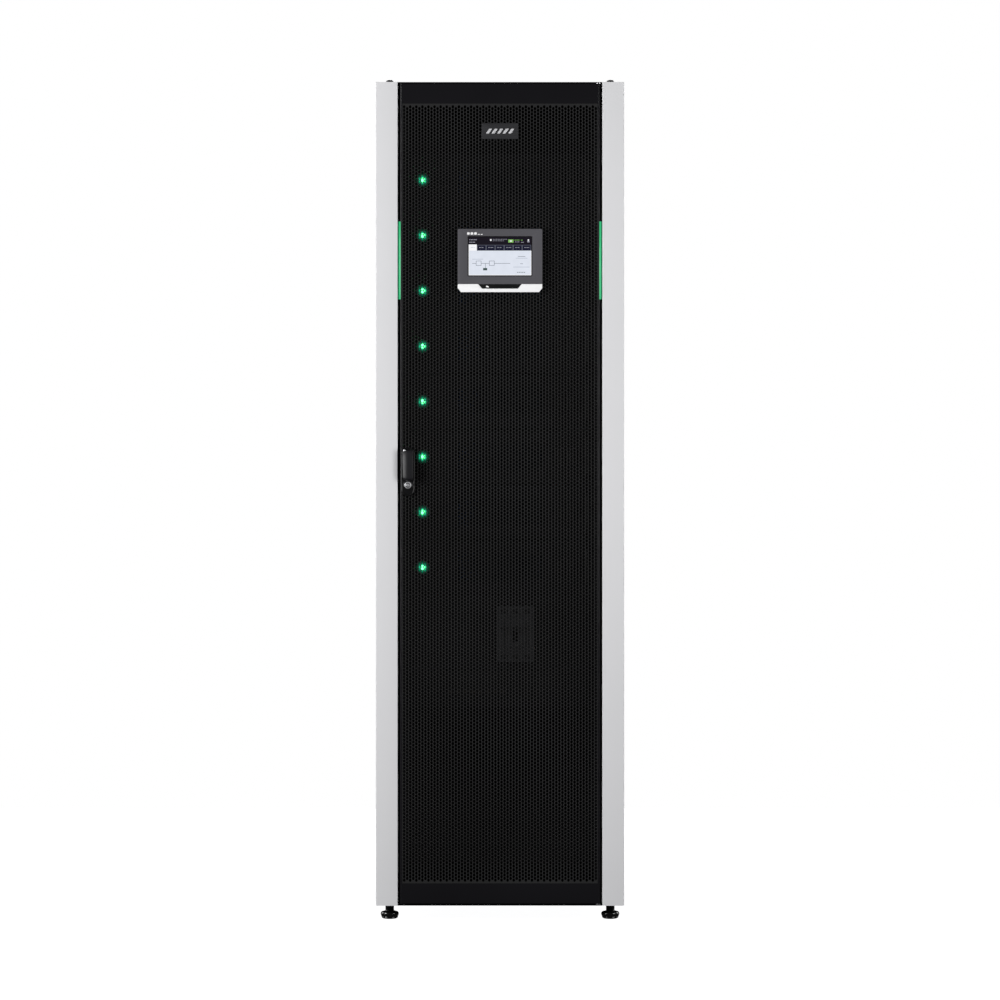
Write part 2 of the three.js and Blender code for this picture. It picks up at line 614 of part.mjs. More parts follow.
// ---------------------------------------------------------------- latch
// A bar shape with round ends, upright, about the latch's centre line.
function stadium(half, bottom, top) {
  const shape = new THREE.Shape();
  shape.absarc(LATCH_X, top - half, half, 0, Math.PI, false);
  shape.absarc(LATCH_X, bottom + half, half, Math.PI, 2 * Math.PI, false);
  shape.closePath();
  return shape;
}
const latchPan = cut(
  join(
    thicken(stadium(LATCH.half, LATCH.bottom, LATCH.top), LATCH.front, FACE_BACK, 10),
    slab(
      LATCH_X - LATCH.bossHalf, LATCH_X + LATCH.bossHalf, FACE_BACK - 1, LATCH.bossBack,
      latchSlotBottom, latchSlotTop,
    ),
  ),
  barY(6, LATCH_X, LEVER.pivotZ - 4, LATCH.front - 1, LATCH.bossBack + 1),
  barY(LOCK.radius + 0.5, LATCH_X, LOCK.z, LATCH.front - 1, LATCH.bossBack + 1),
);
door.add(piece("latch_pan", latchPan, leverBlack));

// Spindle: head in the lever's slot, shaft through the pan, and the tongue behind the door.
const spindleZ = LEVER.pivotZ - 4;
const spindle = join(
  barX(5, LEVER.pivotY, LEVER.pivotZ, LATCH_X - 4.7, LATCH_X + 4.7, 20),
  slab(LATCH_X - 4.7, LATCH_X + 4.7, LEVER.pivotY, -4.6, LEVER.pivotZ - 4, LEVER.pivotZ + 4),
  barY(5.4, LATCH_X, spindleZ, -6, TONGUE.front + TONGUE.thick),
  slab(
    LATCH_X - TONGUE.reach, LATCH_X, TONGUE.front, TONGUE.front + TONGUE.thick,
    spindleZ - 7, spindleZ + 7,
  ),
  barY(9, LATCH_X, spindleZ, TONGUE.front, TONGUE.front + TONGUE.thick),
);
door.add(piece("latch_spindle", spindle, steel));

// Lever: round about its pivot at the top, slimmer towards the free end, slotted for the head.
function leverShape() {
  const side = new THREE.Shape();
  side.absarc(LEVER.pivotY, LEVER.pivotZ, LEVER.hub, Math.PI, 0, true);
  side.lineTo(LEVER.pivotY + LEVER.hub, LEVER.end);
  side.lineTo(LEVER.front + 5, LEVER.end);
  side.quadraticCurveTo(LEVER.front - 1, LEVER.end + 22, LEVER.pivotY - LEVER.hub, LEVER.pivotZ);
  const front = stadium(LEVER.half, LEVER.end, LEVER.pivotZ + LEVER.half - 2);
  const body = common(
    widen(side, LATCH_X - LEVER.half, LATCH_X + LEVER.half),
    thicken(front, LEVER.front - 2, 0, 8),
  );
  const slot = slab(
    LATCH_X - 5.4, LATCH_X + 5.4, LEVER.pivotY - 5.6, 1, LEVER.pivotZ - 10.5, LEVER.pivotZ + 14,
  );
  return cut(body, slot);
}
door.add(piece("latch_lever", leverShape(), leverBlack));

const lockCylinder = barY(LOCK.radius, LATCH_X, LOCK.z, LOCK.front, LOCK.back);
door.add(piece("lock_cylinder", lockCylinder, lockMetal));

export default cabinet;
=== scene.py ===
"""A floor-standing battery cabinet: silver front posts, a perforated black door with a touch display
and a swing-lever latch, eight rack-mounted battery modules behind it, and four levelling feet.

Shapes are given in millimetres, with y measured back from the front plane of the silver fascias."""

import json
import math

import bmesh
import bpy
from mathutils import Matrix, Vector
from mathutils.geometry import delaunay_2d_cdt


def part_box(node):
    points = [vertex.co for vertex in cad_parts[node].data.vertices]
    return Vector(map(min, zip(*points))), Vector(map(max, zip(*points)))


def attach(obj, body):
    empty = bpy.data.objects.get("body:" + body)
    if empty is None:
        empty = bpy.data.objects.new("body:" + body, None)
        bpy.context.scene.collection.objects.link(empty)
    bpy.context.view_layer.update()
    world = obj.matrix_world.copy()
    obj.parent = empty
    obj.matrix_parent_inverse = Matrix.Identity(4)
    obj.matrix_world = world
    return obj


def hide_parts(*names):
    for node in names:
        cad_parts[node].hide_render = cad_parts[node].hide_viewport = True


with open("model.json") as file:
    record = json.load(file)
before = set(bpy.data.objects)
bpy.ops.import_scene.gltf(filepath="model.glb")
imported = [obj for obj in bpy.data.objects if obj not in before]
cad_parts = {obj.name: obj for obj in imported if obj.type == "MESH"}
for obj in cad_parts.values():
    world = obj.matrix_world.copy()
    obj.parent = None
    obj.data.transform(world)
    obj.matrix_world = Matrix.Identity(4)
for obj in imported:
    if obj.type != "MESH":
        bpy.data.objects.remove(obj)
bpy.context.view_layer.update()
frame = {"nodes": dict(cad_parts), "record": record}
scene = bpy.context.scene

# --- frame
MM = 0.001
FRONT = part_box("fascia_left")[0].y / MM
SHARP = math.radians(28)  # edges sharper than this are bevelled or kept crisp
SIDES = (("left", -1), ("right", 1))
CORNERS = [f"{end}_{side}" for end in ("front", "rear") for side, _ in SIDES]
MODULES = 8
EAR_X = 233.5  # how far out a rack unit's front screws stand
CAMERA_DISTANCE = 9.0  # metres in front of the fascias


def limits(node):
    """x0, x1, y0, y1, z0, z1 of a CAD node."""
    low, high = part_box(node)
    return (
        low.x / MM, high.x / MM,
        low.y / MM - FRONT, high.y / MM - FRONT,
        low.z / MM, high.z / MM,
    )


def place(point):
    """A point in millimetres to one in the frame's metres."""
    x, y, z = point
    return Vector((x * MM, (y + FRONT) * MM, z * MM))


# --- outlines
def rectangle(u0, u1, v0, v1):
    return [(u0, v0), (u1, v0), (u1, v1), (u0, v1)]


def arc(u, v, radius, start, end, steps=8):
    """Points along an arc, its angles in degrees."""
    angles = [math.radians(start + (end - start) * i / steps) for i in range(steps + 1)]
    return [(u + radius * math.cos(a), v + radius * math.sin(a)) for a in angles]


def stadium(u, half, v0, v1, steps=12):
    """An upright bar with round ends."""
    return arc(u, v1 - half, half, 0, 180, steps) + arc(u, v0 + half, half, 180, 360, steps)


def filleted(points, radii, steps=6):
    """A closed outline with its corners rounded, each by its own radius."""
    result = []
    count = len(points)
    for i, (corner, radius) in enumerate(zip(points, radii)):
        here = Vector(corner)
        back = (Vector(points[i - 1]) - here).normalized()
        ahead = (Vector(points[(i + 1) % count]) - here).normalized()
        if radius <= 0:
            result.append(tuple(here))
            continue
        half = back.angle(ahead) / 2
        reach = radius / math.tan(half)
        centre = here + (back + ahead).normalized() * (radius / math.sin(half))
        start = (here + back * reach - centre).normalized()
        end = (here + ahead * reach - centre).normalized()
        for k in range(steps + 1):
            result.append(tuple(centre + start.slerp(end, k / steps) * radius))
    return result


def rounded(u0, u1, v0, v1, radius, steps=6):
    return filleted(rectangle(u0, u1, v0, v1), [radius] * 4, steps)


def turned_forward(points, face):
    """The face with its corners in the order that makes it look towards -Y."""
    area = 0
    for a, b in zip(face, face[1:] + face[:1]):
        area += points[a][0] * points[b][1] - points[b][0] * points[a][1]
    return face if area > 0 else face[::-1]


def open_edges(faces):
    """The directed edges that only one face has."""
    uses = dict.fromkeys(edge for face in faces for edge in zip(face, face[1:] + face[:1]))
    return [(a, b) for a, b in uses if (b, a) not in uses]


def span(rings):
    """Triangles between an outer ring and the rings inside it, as indices into all their points."""
    flat = [p for ring in rings for p in ring]
    outlines, start = [], 0
    for ring in rings:
        outlines.append(turned_forward(flat, list(range(start, start + len(ring)))))
        start += len(ring)
    found = delaunay_2d_cdt([Vector(p) for p in flat], [], outlines, 1, 1e-6)
    corner = [sources[0] for sources in found[3]]
    return [
        [corner[i] for i in face] for face, within in zip(found[2], found[5]) if list(within) == [0]
    ]


def mirrored(points, side):
    """The outline flipped left to right where side is -1."""
    return [(side * u, v) for u, v in points]


# --- shapes
AXES = {
    "x": lambda u, v, w: (w, u, v),
    "y": lambda u, v, w: (u, w, v),
    "z": lambda u, v, w: (u, v, w),
}


class Shape:
    """Closed shells gathered into one piece."""

    def __init__(self):
        self.bm = bmesh.new()
        self.slot = 0  # material index of the shells that follow

    def shell(self, points, faces, bevel=0.0, segments=2):
        part = bmesh.new()
        verts = [part.verts.new(place(p)) for p in points]
        for face in faces:
            part.faces.new([verts[i] for i in face])
        bmesh.ops.recalc_face_normals(part, faces=part.faces[:])
        if bevel:
            edges = [e for e in part.edges if e.calc_face_angle(0) > SHARP]
            bmesh.ops.bevel(
                part, geom=edges, offset=bevel * MM, segments=segments, profile=0.5,
                affect="EDGES", clamp_overlap=True,
            )
        return self.take(part)

    def take(self, part):
        """Adds the part's faces, in the present slot."""
        for face in part.faces:
            face.material_index = self.slot
        mesh = bpy.data.meshes.new("shell")
        part.to_mesh(mesh)
        part.free()
        self.bm.from_mesh(mesh)
        bpy.data.meshes.remove(mesh)
        return self

    def mesh(self, name):
        """The finished mesh. Nothing can be added to the shape after it."""
        mesh = bpy.data.meshes.new(name)
        self.bm.to_mesh(mesh)
        self.bm.free()
        return mesh

    def prism(self, outline, axis, a, b, bevel=0.0, segments=2, holes=()):
        """An outline raised along an axis from a to b, with holes through it."""
        at = AXES[axis]
        rings = [list(outline), *map(list, holes)]
        flat = [p for ring in rings for p in ring]
        count = len(flat)
        caps = span(rings) if holes else [range(count)]
        faces = [tuple(c) for c in caps]
        faces += [tuple(i + count for i in reversed(c)) for c in caps]
        start = 0
        for ring in rings:
            for i in range(len(ring)):
                j = (i + 1) % len(ring)
                faces.append((start + i, start + j, start + j + count, start + i + count))
            start += len(ring)
        points = [at(u, v, w) for w in (a, b) for u, v in flat]
        return self.shell(points, faces, bevel, segments)

    def block(self, x0, x1, y0, y1, z0, z1, bevel=0.0, segments=2):
        return self.prism(rectangle(x0, x1, z0, z1), "y", y0, y1, bevel, segments)

    def lathe(self, profile, centre, axis="z", segments=32):
        """A profile of (radius, height) pairs, turned. Its ends are flat unless they reach the axis."""
        at = AXES[axis]
        cx, cy, cz = centre
        (first, bottom), (last, top) = profile[0], profile[-1]
        profile = [(0, bottom)] * (first > 0) + list(profile) + [(0, top)] * (last > 0)
        points, rings = [], []
        for radius, height in profile:
            turns = 1 if radius == 0 else segments
            rings.append(range(len(points), len(points) + turns))
            for i in range(turns):
                angle = 2 * math.pi * i / segments
                dx, dy, dz = at(radius * math.cos(angle), radius * math.sin(angle), height)
                points.append((cx + dx, cy + dy, cz + dz))
        faces = []
        for low, high in zip(rings, rings[1:]):
            for i in range(segments):
                j = (i + 1) % segments
                here, there = (i % len(low), j % len(low)), (j % len(high), i % len(high))
                corners = [low[k] for k in here] + [high[k] for k in there]
                face = tuple(dict.fromkeys(corners))
                if len(face) > 2:
                    faces.append(face)
        return self.shell(points, faces)

    def tube(self, path, radius, sides=12):
        """A round bar along a path."""
        route = [Vector(p) for p in path]
        turns = [2 * math.pi * k / sides for k in range(sides)]
        across = None
        rings = []
        for i, here in enumerate(route):
            along = (route[min(i + 1, len(route) - 1)] - route[max(i - 1, 0)]).normalized()
            if across is None:
                across = along.orthogonal()
            across = (across - along * across.dot(along)).normalized()
            other = along.cross(across)
            spokes = [across * math.cos(a) + other * math.sin(a) for a in turns]
            rings.append([here + spoke * radius for spoke in spokes])
        return self.loft(rings)

    def loft(self, sections):
        """A skin over closed sections with the same number of points, capped at both ends."""
        count = len(sections[0])
        points = [p for section in sections for p in section]
        last = len(points) - count
        faces = [tuple(range(count))]
        for low in range(0, last, count):
            high = low + count
            for k in range(count):
                j = (k + 1) % count
                faces.append((low + k, low + j, high + j, high + k))
        faces.append(tuple(last + k for k in reversed(range(count))))
        return self.shell(points, faces)

    def screw(self, x, y, z, radius=4.0, facing=-1, axis="y"):
        """A pan-head screw, its head standing on the plane through the point."""
        rise = facing * radius * 0.55
        socket = facing * radius * 0.15
        self.lathe(
            [
                (radius, 0), (radius, rise * 0.45), (radius * 0.86, rise * 0.85),
                (radius * 0.6, rise), (radius * 0.42, rise), (radius * 0.42, socket),
            ],
            (x, y, z), axis, 18,
        )


def sheet(shape, points, faces, y0, y1):
    """A flat mesh of (x, z) points given thickness, closed along every open edge."""
    count = len(points)
    solid = [(x, y0, z) for x, z in points] + [(x, y1, z) for x, z in points]
    walls = [(b, a, a + count, b + count) for a, b in open_edges(faces)]
    back = [tuple(i + count for i in reversed(face)) for face in faces]
    mesh = bpy.data.meshes.new("sheet")
    mesh.from_pydata([place(p) for p in solid], [], [tuple(f) for f in faces] + back + walls)
    part = bmesh.new()
    part.from_mesh(mesh)
    bpy.data.meshes.remove(mesh)
    loose = [v for v in part.verts if not v.link_faces]
    bmesh.ops.delete(part, geom=loose, context="VERTS")
    shape.take(part)


def lattice(shape, across, heights, y0, y1, is_open):
    """A sheet cut into cells at the given positions, some of them left open."""
    points = [(x, z) for z in heights for x in across]
    row = len(across)
    faces = []
    for j in range(len(heights) - 1):
        for i in range(row - 1):
            if not is_open(i, j):
                low = j * row + i
                faces.append([low, low + 1, low + row + 1, low + row])
    sheet(shape, points, faces, y0, y1)


def perforation(x0, x1, z0, z1, columns, rows, spacing, pitch, wide, tall):
    """Points, the faces between oval holes in staggered columns, and the holes as lists of corners.
    Every other column is half a pitch shorter at each end and has one hole fewer."""
    flat = math.cos(math.radians(15))
    rim = [(u * wide / 2 / flat, v * tall / 2 / flat) for u, v in arc(0, 0, 1, 15, 375, 12)[:-1]]
    points, corner = [], {}
    middle_x, middle_z = (x0 + x1) / 2, (z0 + z1) / 2
    for k in range(columns):
        x = middle_x + (k - (columns - 1) / 2) * spacing
        count = rows - k % 2
        for j in range(count):
            z = middle_z + (j - (count - 1) / 2) * pitch
            for i, (u, v) in enumerate(rim):
                corner[k, j, i] = len(points)
                points.append((x + u, z + v))
    web, holes = [], []
    for k, j, i in [key for key in corner if key[2] == 0]:
        here, up = (k, j), (k, j + 1)
        right_up = (k + 1, j + k % 2)
        right_down = (k + 1, j + k % 2 - 1)
        holes.append([corner[*here, c] for c in range(12)])
        # Webs to the three neighbours, then the islands between three holes.
        faces = [
            ((here, 3), (here, 2), (up, 9), (up, 8)),
            ((here, 1), (here, 0), (right_up, 7), (right_up, 6)),
            ((here, 11), (here, 10), (right_down, 5), (right_down, 4)),
            ((here, 2), (here, 1), (right_up, 6), (right_up, 5), (up, 10), (up, 9)),
            ((here, 0), (here, 11), (right_down, 4), (right_down, 3), (right_up, 8), (right_up, 7)),
        ]
        for face in faces:
            if all((*hole, 0) in corner for hole, _ in face):
                web.append(turned_forward(points, [corner[*hole, c] for hole, c in face]))
    return points, web, holes


def border(points, web, holes, edge):
    """Faces from the outside of the perforated field out to a straight-sided edge."""
    ahead = dict(open_edges([turned_forward(points, face) for face in web + holes]))
    loop = [next(iter(ahead))]
    while ahead[loop[-1]] != loop[0]:
        loop.append(ahead[loop[-1]])
    ring = [len(points) + i for i in range(len(edge))] + loop
    points.extend(edge)
    faces = span([edge, [points[i] for i in loop]])
    return [turned_forward(points, [ring[i] for i in face]) for face in faces]


def perforated(shape, area, columns, rows, pitch, across, y0, y1):
    """A sheet with round holes, each as far from all six of its neighbours."""
    spacing = pitch * math.sqrt(3) / 2
    points, web, holes = perforation(*area, columns, rows, spacing, pitch, across, across)
    edge = border(points, web, holes, rectangle(*area))
    sheet(shape, points, web, y0, y1)
    sheet(shape, points, edge, y0, y1)


# --- materials
class Finish:
    """A node material under construction."""

    def __init__(self, name, roughness, metallic=0.0, coat=0.0, shine=0.5):
        self.material = bpy.data.materials.new(name)
        self.material.use_nodes = True
        self.tree = self.material.node_tree
        self.shader = self.tree.nodes["Principled BSDF"]
        self.drive("Roughness", roughness)
        self.drive("Metallic", metallic)
        self.drive("Coat Weight", coat)
        self.drive("Coat Roughness", 0.08)
        self.drive("Specular IOR Level", shine)
        self.where = self.node("ShaderNodeTexCoord").outputs["Object"]

    def set(self, node, key, value):
        """Gives a node's input a value, or another node's output."""
        if isinstance(value, bpy.types.NodeSocket):
            self.tree.links.new(value, node.inputs[key])
        else:
            node.inputs[key].default_value = value

    def node(self, kind, **inputs):
        made = self.tree.nodes.new(kind)
        for key, value in inputs.items():
            self.set(made, key, value)
        return made

    def drive(self, key, value):
        self.set(self.shader, key, value)

    def noise(self, scale, detail=3.0, stretch=(1, 1, 1)):
        at = self.node("ShaderNodeMapping", Vector=self.where, Scale=stretch).outputs[0]
        return self.node("ShaderNodeTexNoise", Vector=at, Scale=scale, Detail=detail).outputs["Fac"]

    def ramp(self, source, stops):
        made = self.node("ShaderNodeValToRGB", Fac=source)
        elements = made.color_ramp.elements
        while len(elements) < len(stops):
            elements.new(1.0)
        for element, (at, color) in zip(elements, stops):
            element.position = at
            element.color = (*color, 1)
        return made.outputs["Color"]

    def tone(self, source, color, vary):
        """The colour, a little darker or lighter as the source says."""
        return self.ramp(source, [(0.3, tinted(color, 1 - vary)), (0.7, tinted(color, 1 + vary))])

    def spread(self, source, low, high):
        """The source's middle half mapped to low..high."""
        ends = {"From Min": 0.25, "From Max": 0.75, "To Min": low, "To Max": high}
        return self.node("ShaderNodeMapRange", Value=source, **ends).outputs[0]

    def bump(self, source, depth):
        made = self.node("ShaderNodeBump", Height=source, Distance=depth)
        self.drive("Normal", made.outputs[0])


def tinted(color, factor):
    return tuple(min(1.0, c * factor) for c in color)


def coated(name, color, roughness, shine=0.5, grain=900, depth=0.00006, coat=0.0, vary=0.12):
    """Powder coat or moulded plastic: a fine orange-peel grain with slight colour drift."""
    finish = Finish(name, roughness, 0.0, coat, shine)
    finish.drive("Base Color", finish.tone(finish.noise(3.0), color, vary))
    fine = finish.noise(grain, 2.0)
    finish.drive("Roughness", finish.spread(fine, roughness * 0.9, roughness * 1.12))
    finish.bump(fine, depth)
    return finish.material


def metal(name, color, roughness, stretch=(1, 1, 1), scale=300, metallic=1.0):
    """Bare or anodised metal with fine streaks along its long direction."""
    finish = Finish(name, roughness, metallic)
    streaks = finish.noise(scale, 4.0, stretch)
    finish.drive("Base Color", finish.tone(streaks, color, 0.06))
    finish.drive("Roughness", finish.spread(streaks, roughness * 0.85, roughness * 1.15))
    finish.bump(streaks, 0.00002)
    return finish.material


def lit(name, color, strength=1.0, vary=0.05):
    """A surface that shines by itself, with slight unevenness."""
    finish = Finish(name, 0.3, shine=0.05)
    finish.drive("Base Color", (0.004, 0.004, 0.004, 1))
    stops = [(0.3, tinted(color, 1 - vary)), (0.7, color)]
    finish.drive("Emission Color", finish.ramp(finish.noise(60.0, 2.0), stops))
    finish.drive("Emission Strength", strength)
    return finish.material


COAT = coated("black_powder_coat", (0.0080, 0.0077, 0.0092), 0.24, 0.17)
PANEL_COAT = coated("panel_powder_coat", (0.015, 0.015, 0.0158), 0.42, 0.35, 700)
SHEET_COAT = coated("perforated_powder_coat", (0.022, 0.022, 0.0225), 0.28, 0.3)
# A darker, duller copy of the black coat for steel inside the cabinet: painted shade.
SHADED_INNER_COAT = coated("shaded_inner_powder_coat", (0.0026, 0.0026, 0.0028), 0.4, 0.08)
# The black coat of the units in the rack, made darker and duller still as painted shade inside the
# cabinet.
SHADED_MODULE_COAT = coated("shaded_module_powder_coat", (0.0028, 0.0028, 0.0030), 0.4, 0.08)
SILVER = coated("satin_silver", (0.70, 0.70, 0.715), 0.5, 0.3, 1400, 0.00002, vary=0.012)
BEZEL = coated("bezel_plastic", (0.088, 0.086, 0.096), 0.4, 0.2, 1600)
WHITE = coated("white_plastic", (0.96, 0.96, 0.97), 0.3, 0.5, 500, 0.00002, 0.3, 0.02)
BLACK_PLASTIC = coated("black_plastic", (0.004, 0.004, 0.0045), 0.35, 0.3, 1400, 0.00003)
LEVER_PLASTIC = coated("lever_plastic", (0.0028, 0.0028, 0.0048), 0.5, 0.42, 1400, 0.00002)
BREAKER_CASE = coated("breaker_case", (0.020, 0.020, 0.0215), 0.4, 0.15, 1100)
FOOT_COAT = coated("foot_enamel", (0.003, 0.003, 0.0034), 0.22, 0.5, 700, 0.00002)
RUBBER = coated("gasket_rubber", (0.0035, 0.0035, 0.0035), 0.8, 0.06, 600, 0.0001)
# A darker, duller copy of the black plastic for parts inside the cabinet: painted shade.
SHADED_INNER_PLASTIC = coated("shaded_inner_plastic", (0.0024, 0.0024, 0.0026), 0.4, 0.08, 900)
CELL_SLEEVE = coated("cell_sleeve", (0.010, 0.040, 0.13), 0.35, 0.4, 500)
ORANGE_PLASTIC = coated("orange_plastic", (0.42, 0.10, 0.012), 0.35, 0.4, 900, 0.00003)
STEEL = metal("bright_steel", (0.55, 0.55, 0.57), 0.3, (1, 1, 0.1))
CHROME = metal("plated_steel", (0.55, 0.55, 0.57), 0.38, (1, 1, 1), 500, 0.55)
DARK_STEEL = metal("blackened_steel", (0.03, 0.03, 0.032), 0.35, (1, 1, 1), 400, 0.8)
BLACK_STEEL = metal("black_zinc", (0.006, 0.006, 0.0065), 0.4, (1, 1, 1), 400, 0.4)
COPPER = metal("copper", (0.80, 0.42, 0.27), 0.3, (1, 1, 0.05))
BADGE_METAL = metal("badge_plate", (0.034, 0.034, 0.037), 0.4, (0.03, 1, 1), 700, 0.3)
MOTIF_METAL = metal("motif_silver", (0.72, 0.72, 0.74), 0.35, (0.05, 1, 1), 700, 0.3)
CONTACT = metal("tinned_contact", (0.010, 0.008, 0.005), 0.4, metallic=0.6)

# --- pieces
bodies = {n: body for body, names in frame["record"]["behaviour"]["bodies"].items() for n in names}


def add(name, data):
    """Links a new object to the scene."""
    made = bpy.data.objects.new(name, data)
    scene.collection.objects.link(made)
    return made


def smooth(mesh):
    mesh.shade_smooth()
    mesh.set_sharp_from_angle(angle=SHARP)


def ear_screws(shape, y, heights):
    """The screws that hold a unit's front plate to the rails."""
    for s in (-1, 1):
        for z in heights:
            shape.screw(s * EAR_X, y, z, 4.2)


def piece(name, shape, materials, body, replaces=()):
    """Turns a shape into an object that rides on a body, in place of the CAD nodes it replaces, which
    it hides.
    """
    mesh = shape.mesh(name)
    for material in materials:
        mesh.materials.append(material)
    smooth(mesh)
    made = add(name, mesh)
    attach(made, body)
    if replaces:
        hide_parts(*replaces)
    return made


def stand_in(node, shape, *materials):
    """A finer piece in place of one CAD node, on the same body."""
    return piece(f"{node}_fine", shape, materials, bodies[node], [node])


def carved(made, cutter):
    """Cuts a shape out of a piece."""
    tool = add("cutter", cutter.mesh("cutter"))
    cut = made.modifiers.new("cut", "BOOLEAN")
    cut.operation = "DIFFERENCE"
    cut.solver = "EXACT"
    cut.object = tool
    bpy.context.view_layer.update()
    seen = made.evaluated_get(bpy.context.evaluated_depsgraph_get())
    result = bpy.data.meshes.new_from_object(seen)
    made.modifiers.remove(cut)
    made.data = result
    smooth(result)
    bpy.data.objects.remove(tool)


def recoat(node, material):
    """Gives a CAD node that stays in view its finish."""
    mesh = frame["nodes"][node].data
    mesh.materials.clear()
    mesh.materials.append(material)


# --- fascias
def fascia(name, side):
    """Extruded silver post cover: a channel with rounded front corners, open at the back."""
    x0, x1, y0, y1, z0, z1 = limits(f"fascia_{name}")
    inner, outer = sorted((abs(x0), abs(x1)))
    wall, bend = 2.5, 1.6
    outline = filleted(
        [
            (inner, y1), (inner, y0), (outer, y0), (outer, y1), (outer - wall, y1),
            (outer - wall, y0 + wall), (inner + wall, y0 + wall), (inner + wall, y1),
        ],
        [0.6, bend, bend, 0.6, 0.6, 0.6, 0.6, 0.6], 8,
    )
    shape = Shape().prism(mirrored(outline, side), "z", z0, z1)
    plug = mirrored(rectangle(inner + wall + 0.1, outer - wall - 0.1, y0 + wall + 0.1, y1), side)
    for end in (z0 + 0.6, z1 - 3.6):
        shape.prism(plug, "z", end, end + 3)
    # A black strip on the fascia's inner wall, put there as painted shade so that the door's bevel
    # reflects black beside the door. It is thin enough for the door to swing past it.
    strip = mirrored(rectangle(inner - 0.22, inner + 0.2, y0 + 2.4, y1 - 0.4), side)
    shape.slot = 1
    shape.prism(strip, "z", z0 + 1, z1 - 1)
    stand_in(f"fascia_{name}", shape, SILVER, RUBBER)


for side in SIDES:
    fascia(*side)

# --- door
_, DOOR_X1, DOOR_Y0, DOOR_Y1, DOOR_Z0, DOOR_Z1 = limits("door_frame")
SHEET_X0, SHEET_X1, SHEET_Y0, SHEET_Y1, SHEET_Z0, SHEET_Z1 = limits("door_sheet")
SKIN = 2.0
BEVEL = 6.0
LIP = 12.0
WINDOW = SHEET_X1 + 0.3
HOLE_PITCH = 8.45
HOLE_COLUMNS = 64
HOLE_SPACING = 7.35
HOLE_WIDE = 6.0
HOLE_TALL = 7.8
SHEET_BANDS = 5


def door_plan(inset):
    """Half of the door's plan outline, from the window's edge round to the back lip and back."""
    edge, front, back = DOOR_X1 - inset, DOOR_Y0 + inset, DOOR_Y1 - inset
    cut = BEVEL - inset * (2 - math.sqrt(2))
    return [(edge - cut, front), (edge, front + cut), (edge, back)]


def door_frame():
    """Folded stiles and rails, closed at the corners, with a foam gasket on the back lip."""
    shape = Shape()
    lip_end = DOOR_X1 - SKIN - LIP
    outer, inner = door_plan(0), door_plan(SKIN)
    stile = filleted(
        [(WINDOW, DOOR_Y0), *outer, (lip_end, DOOR_Y1), (lip_end, DOOR_Y1 - SKIN)]
        + [*inner[::-1], (WINDOW, DOOR_Y0 + SKIN)],
        [0.2, 2.6, 2.6, 2.2, 0.5, 0.5, 0.6, 1.2, 1.2, 0.2], 8,
    )
    for _, s in SIDES:
        shape.prism(mirrored(stile, s), "z", DOOR_Z0, DOOR_Z1)
    for edge, sheet_edge, inward in ((DOOR_Z0, SHEET_Z0 - 0.3, 1), (DOOR_Z1, SHEET_Z1 + 0.3, -1)):
        skin, lip = edge + inward * SKIN, edge + inward * (SKIN + LIP)
        rail = filleted(
            [
                (DOOR_Y0, sheet_edge), (DOOR_Y0, edge), (DOOR_Y1, edge), (DOOR_Y1, lip),
                (DOOR_Y1 - SKIN, lip), (DOOR_Y1 - SKIN, skin), (DOOR_Y0 + SKIN, skin),
                (DOOR_Y0 + SKIN, sheet_edge),
            ],
            [0.2, 2.2, 2.2, 0.5, 0.5, 0.6, 0.6, 0.2],
        )
        shape.prism(rail, "x", -WINDOW, WINDOW)
        cap = sorted((edge + inward * 0.4, skin))
        for _, s in SIDES:
            end = [(WINDOW - 4, DOOR_Y0 + 0.4), *door_plan(0.4), (WINDOW - 4, DOOR_Y1 - 0.4)]
            shape.prism(mirrored(end, s), "z", *cap)
    gasket = rounded(-240, 240, DOOR_Z0 + 4, DOOR_Z1 - 4, 4)
    inside = rounded(-234, 234, DOOR_Z0 + 10, DOOR_Z1 - 10, 2)
    shape.slot = 1
    shape.prism(gasket, "y", DOOR_Y1, DOOR_Y1 + 1.6, 0.5, holes=[inside])
    stand_in("door_frame", shape, COAT, RUBBER)


def door_sheet():
    """The perforated sheet, in bands so that no piece has too many faces."""
    rows = int((SHEET_Z1 - SHEET_Z0 - HOLE_TALL - 3) / HOLE_PITCH) + 1
    area = (SHEET_X0, SHEET_X1, SHEET_Z0, SHEET_Z1)
    points, web, holes = perforation(
        *area, HOLE_COLUMNS, rows, HOLE_SPACING, HOLE_PITCH, HOLE_WIDE, HOLE_TALL,
    )
    parts = {f"door_sheet_band_{number}": [] for number in range(1, SHEET_BANDS + 1)}
    bands = list(parts.values())
    parts["door_sheet_border"] = border(points, web, holes, rectangle(*area))
    # Every face is centred a whole number of quarter pitches above the lowest hole.
    lowest = (SHEET_Z0 + SHEET_Z1 - (rows - 1) * HOLE_PITCH) / 2
    levels = 4 * (rows - 1)
    for face in web:
        height = sum(points[i][1] for i in face) / len(face)
        level = round((height - lowest) / HOLE_PITCH * 4)
        bands[min(level * SHEET_BANDS // levels, SHEET_BANDS - 1)].append(face)
    for name, faces in parts.items():
        shape = Shape()
        sheet(shape, points, faces, SHEET_Y0, SHEET_Y1)
        made = piece(name, shape, [SHEET_COAT], "door", ["door_sheet"])
        map_from_front(made)


def map_from_front(made):
    """A flat map of the piece as seen from the front, over the whole door."""
    mesh = made.data
    layer = mesh.uv_layers.new(name="OFBake")
    height = (SHEET_Z1 - SHEET_Z0) * MM
    for loop in mesh.loops:
        at = mesh.vertices[loop.vertex_index].co
        layer.data[loop.index].uv = (0.5 + at.x / height, (at.z - SHEET_Z0 * MM) / height)


door_frame()
door_sheet()


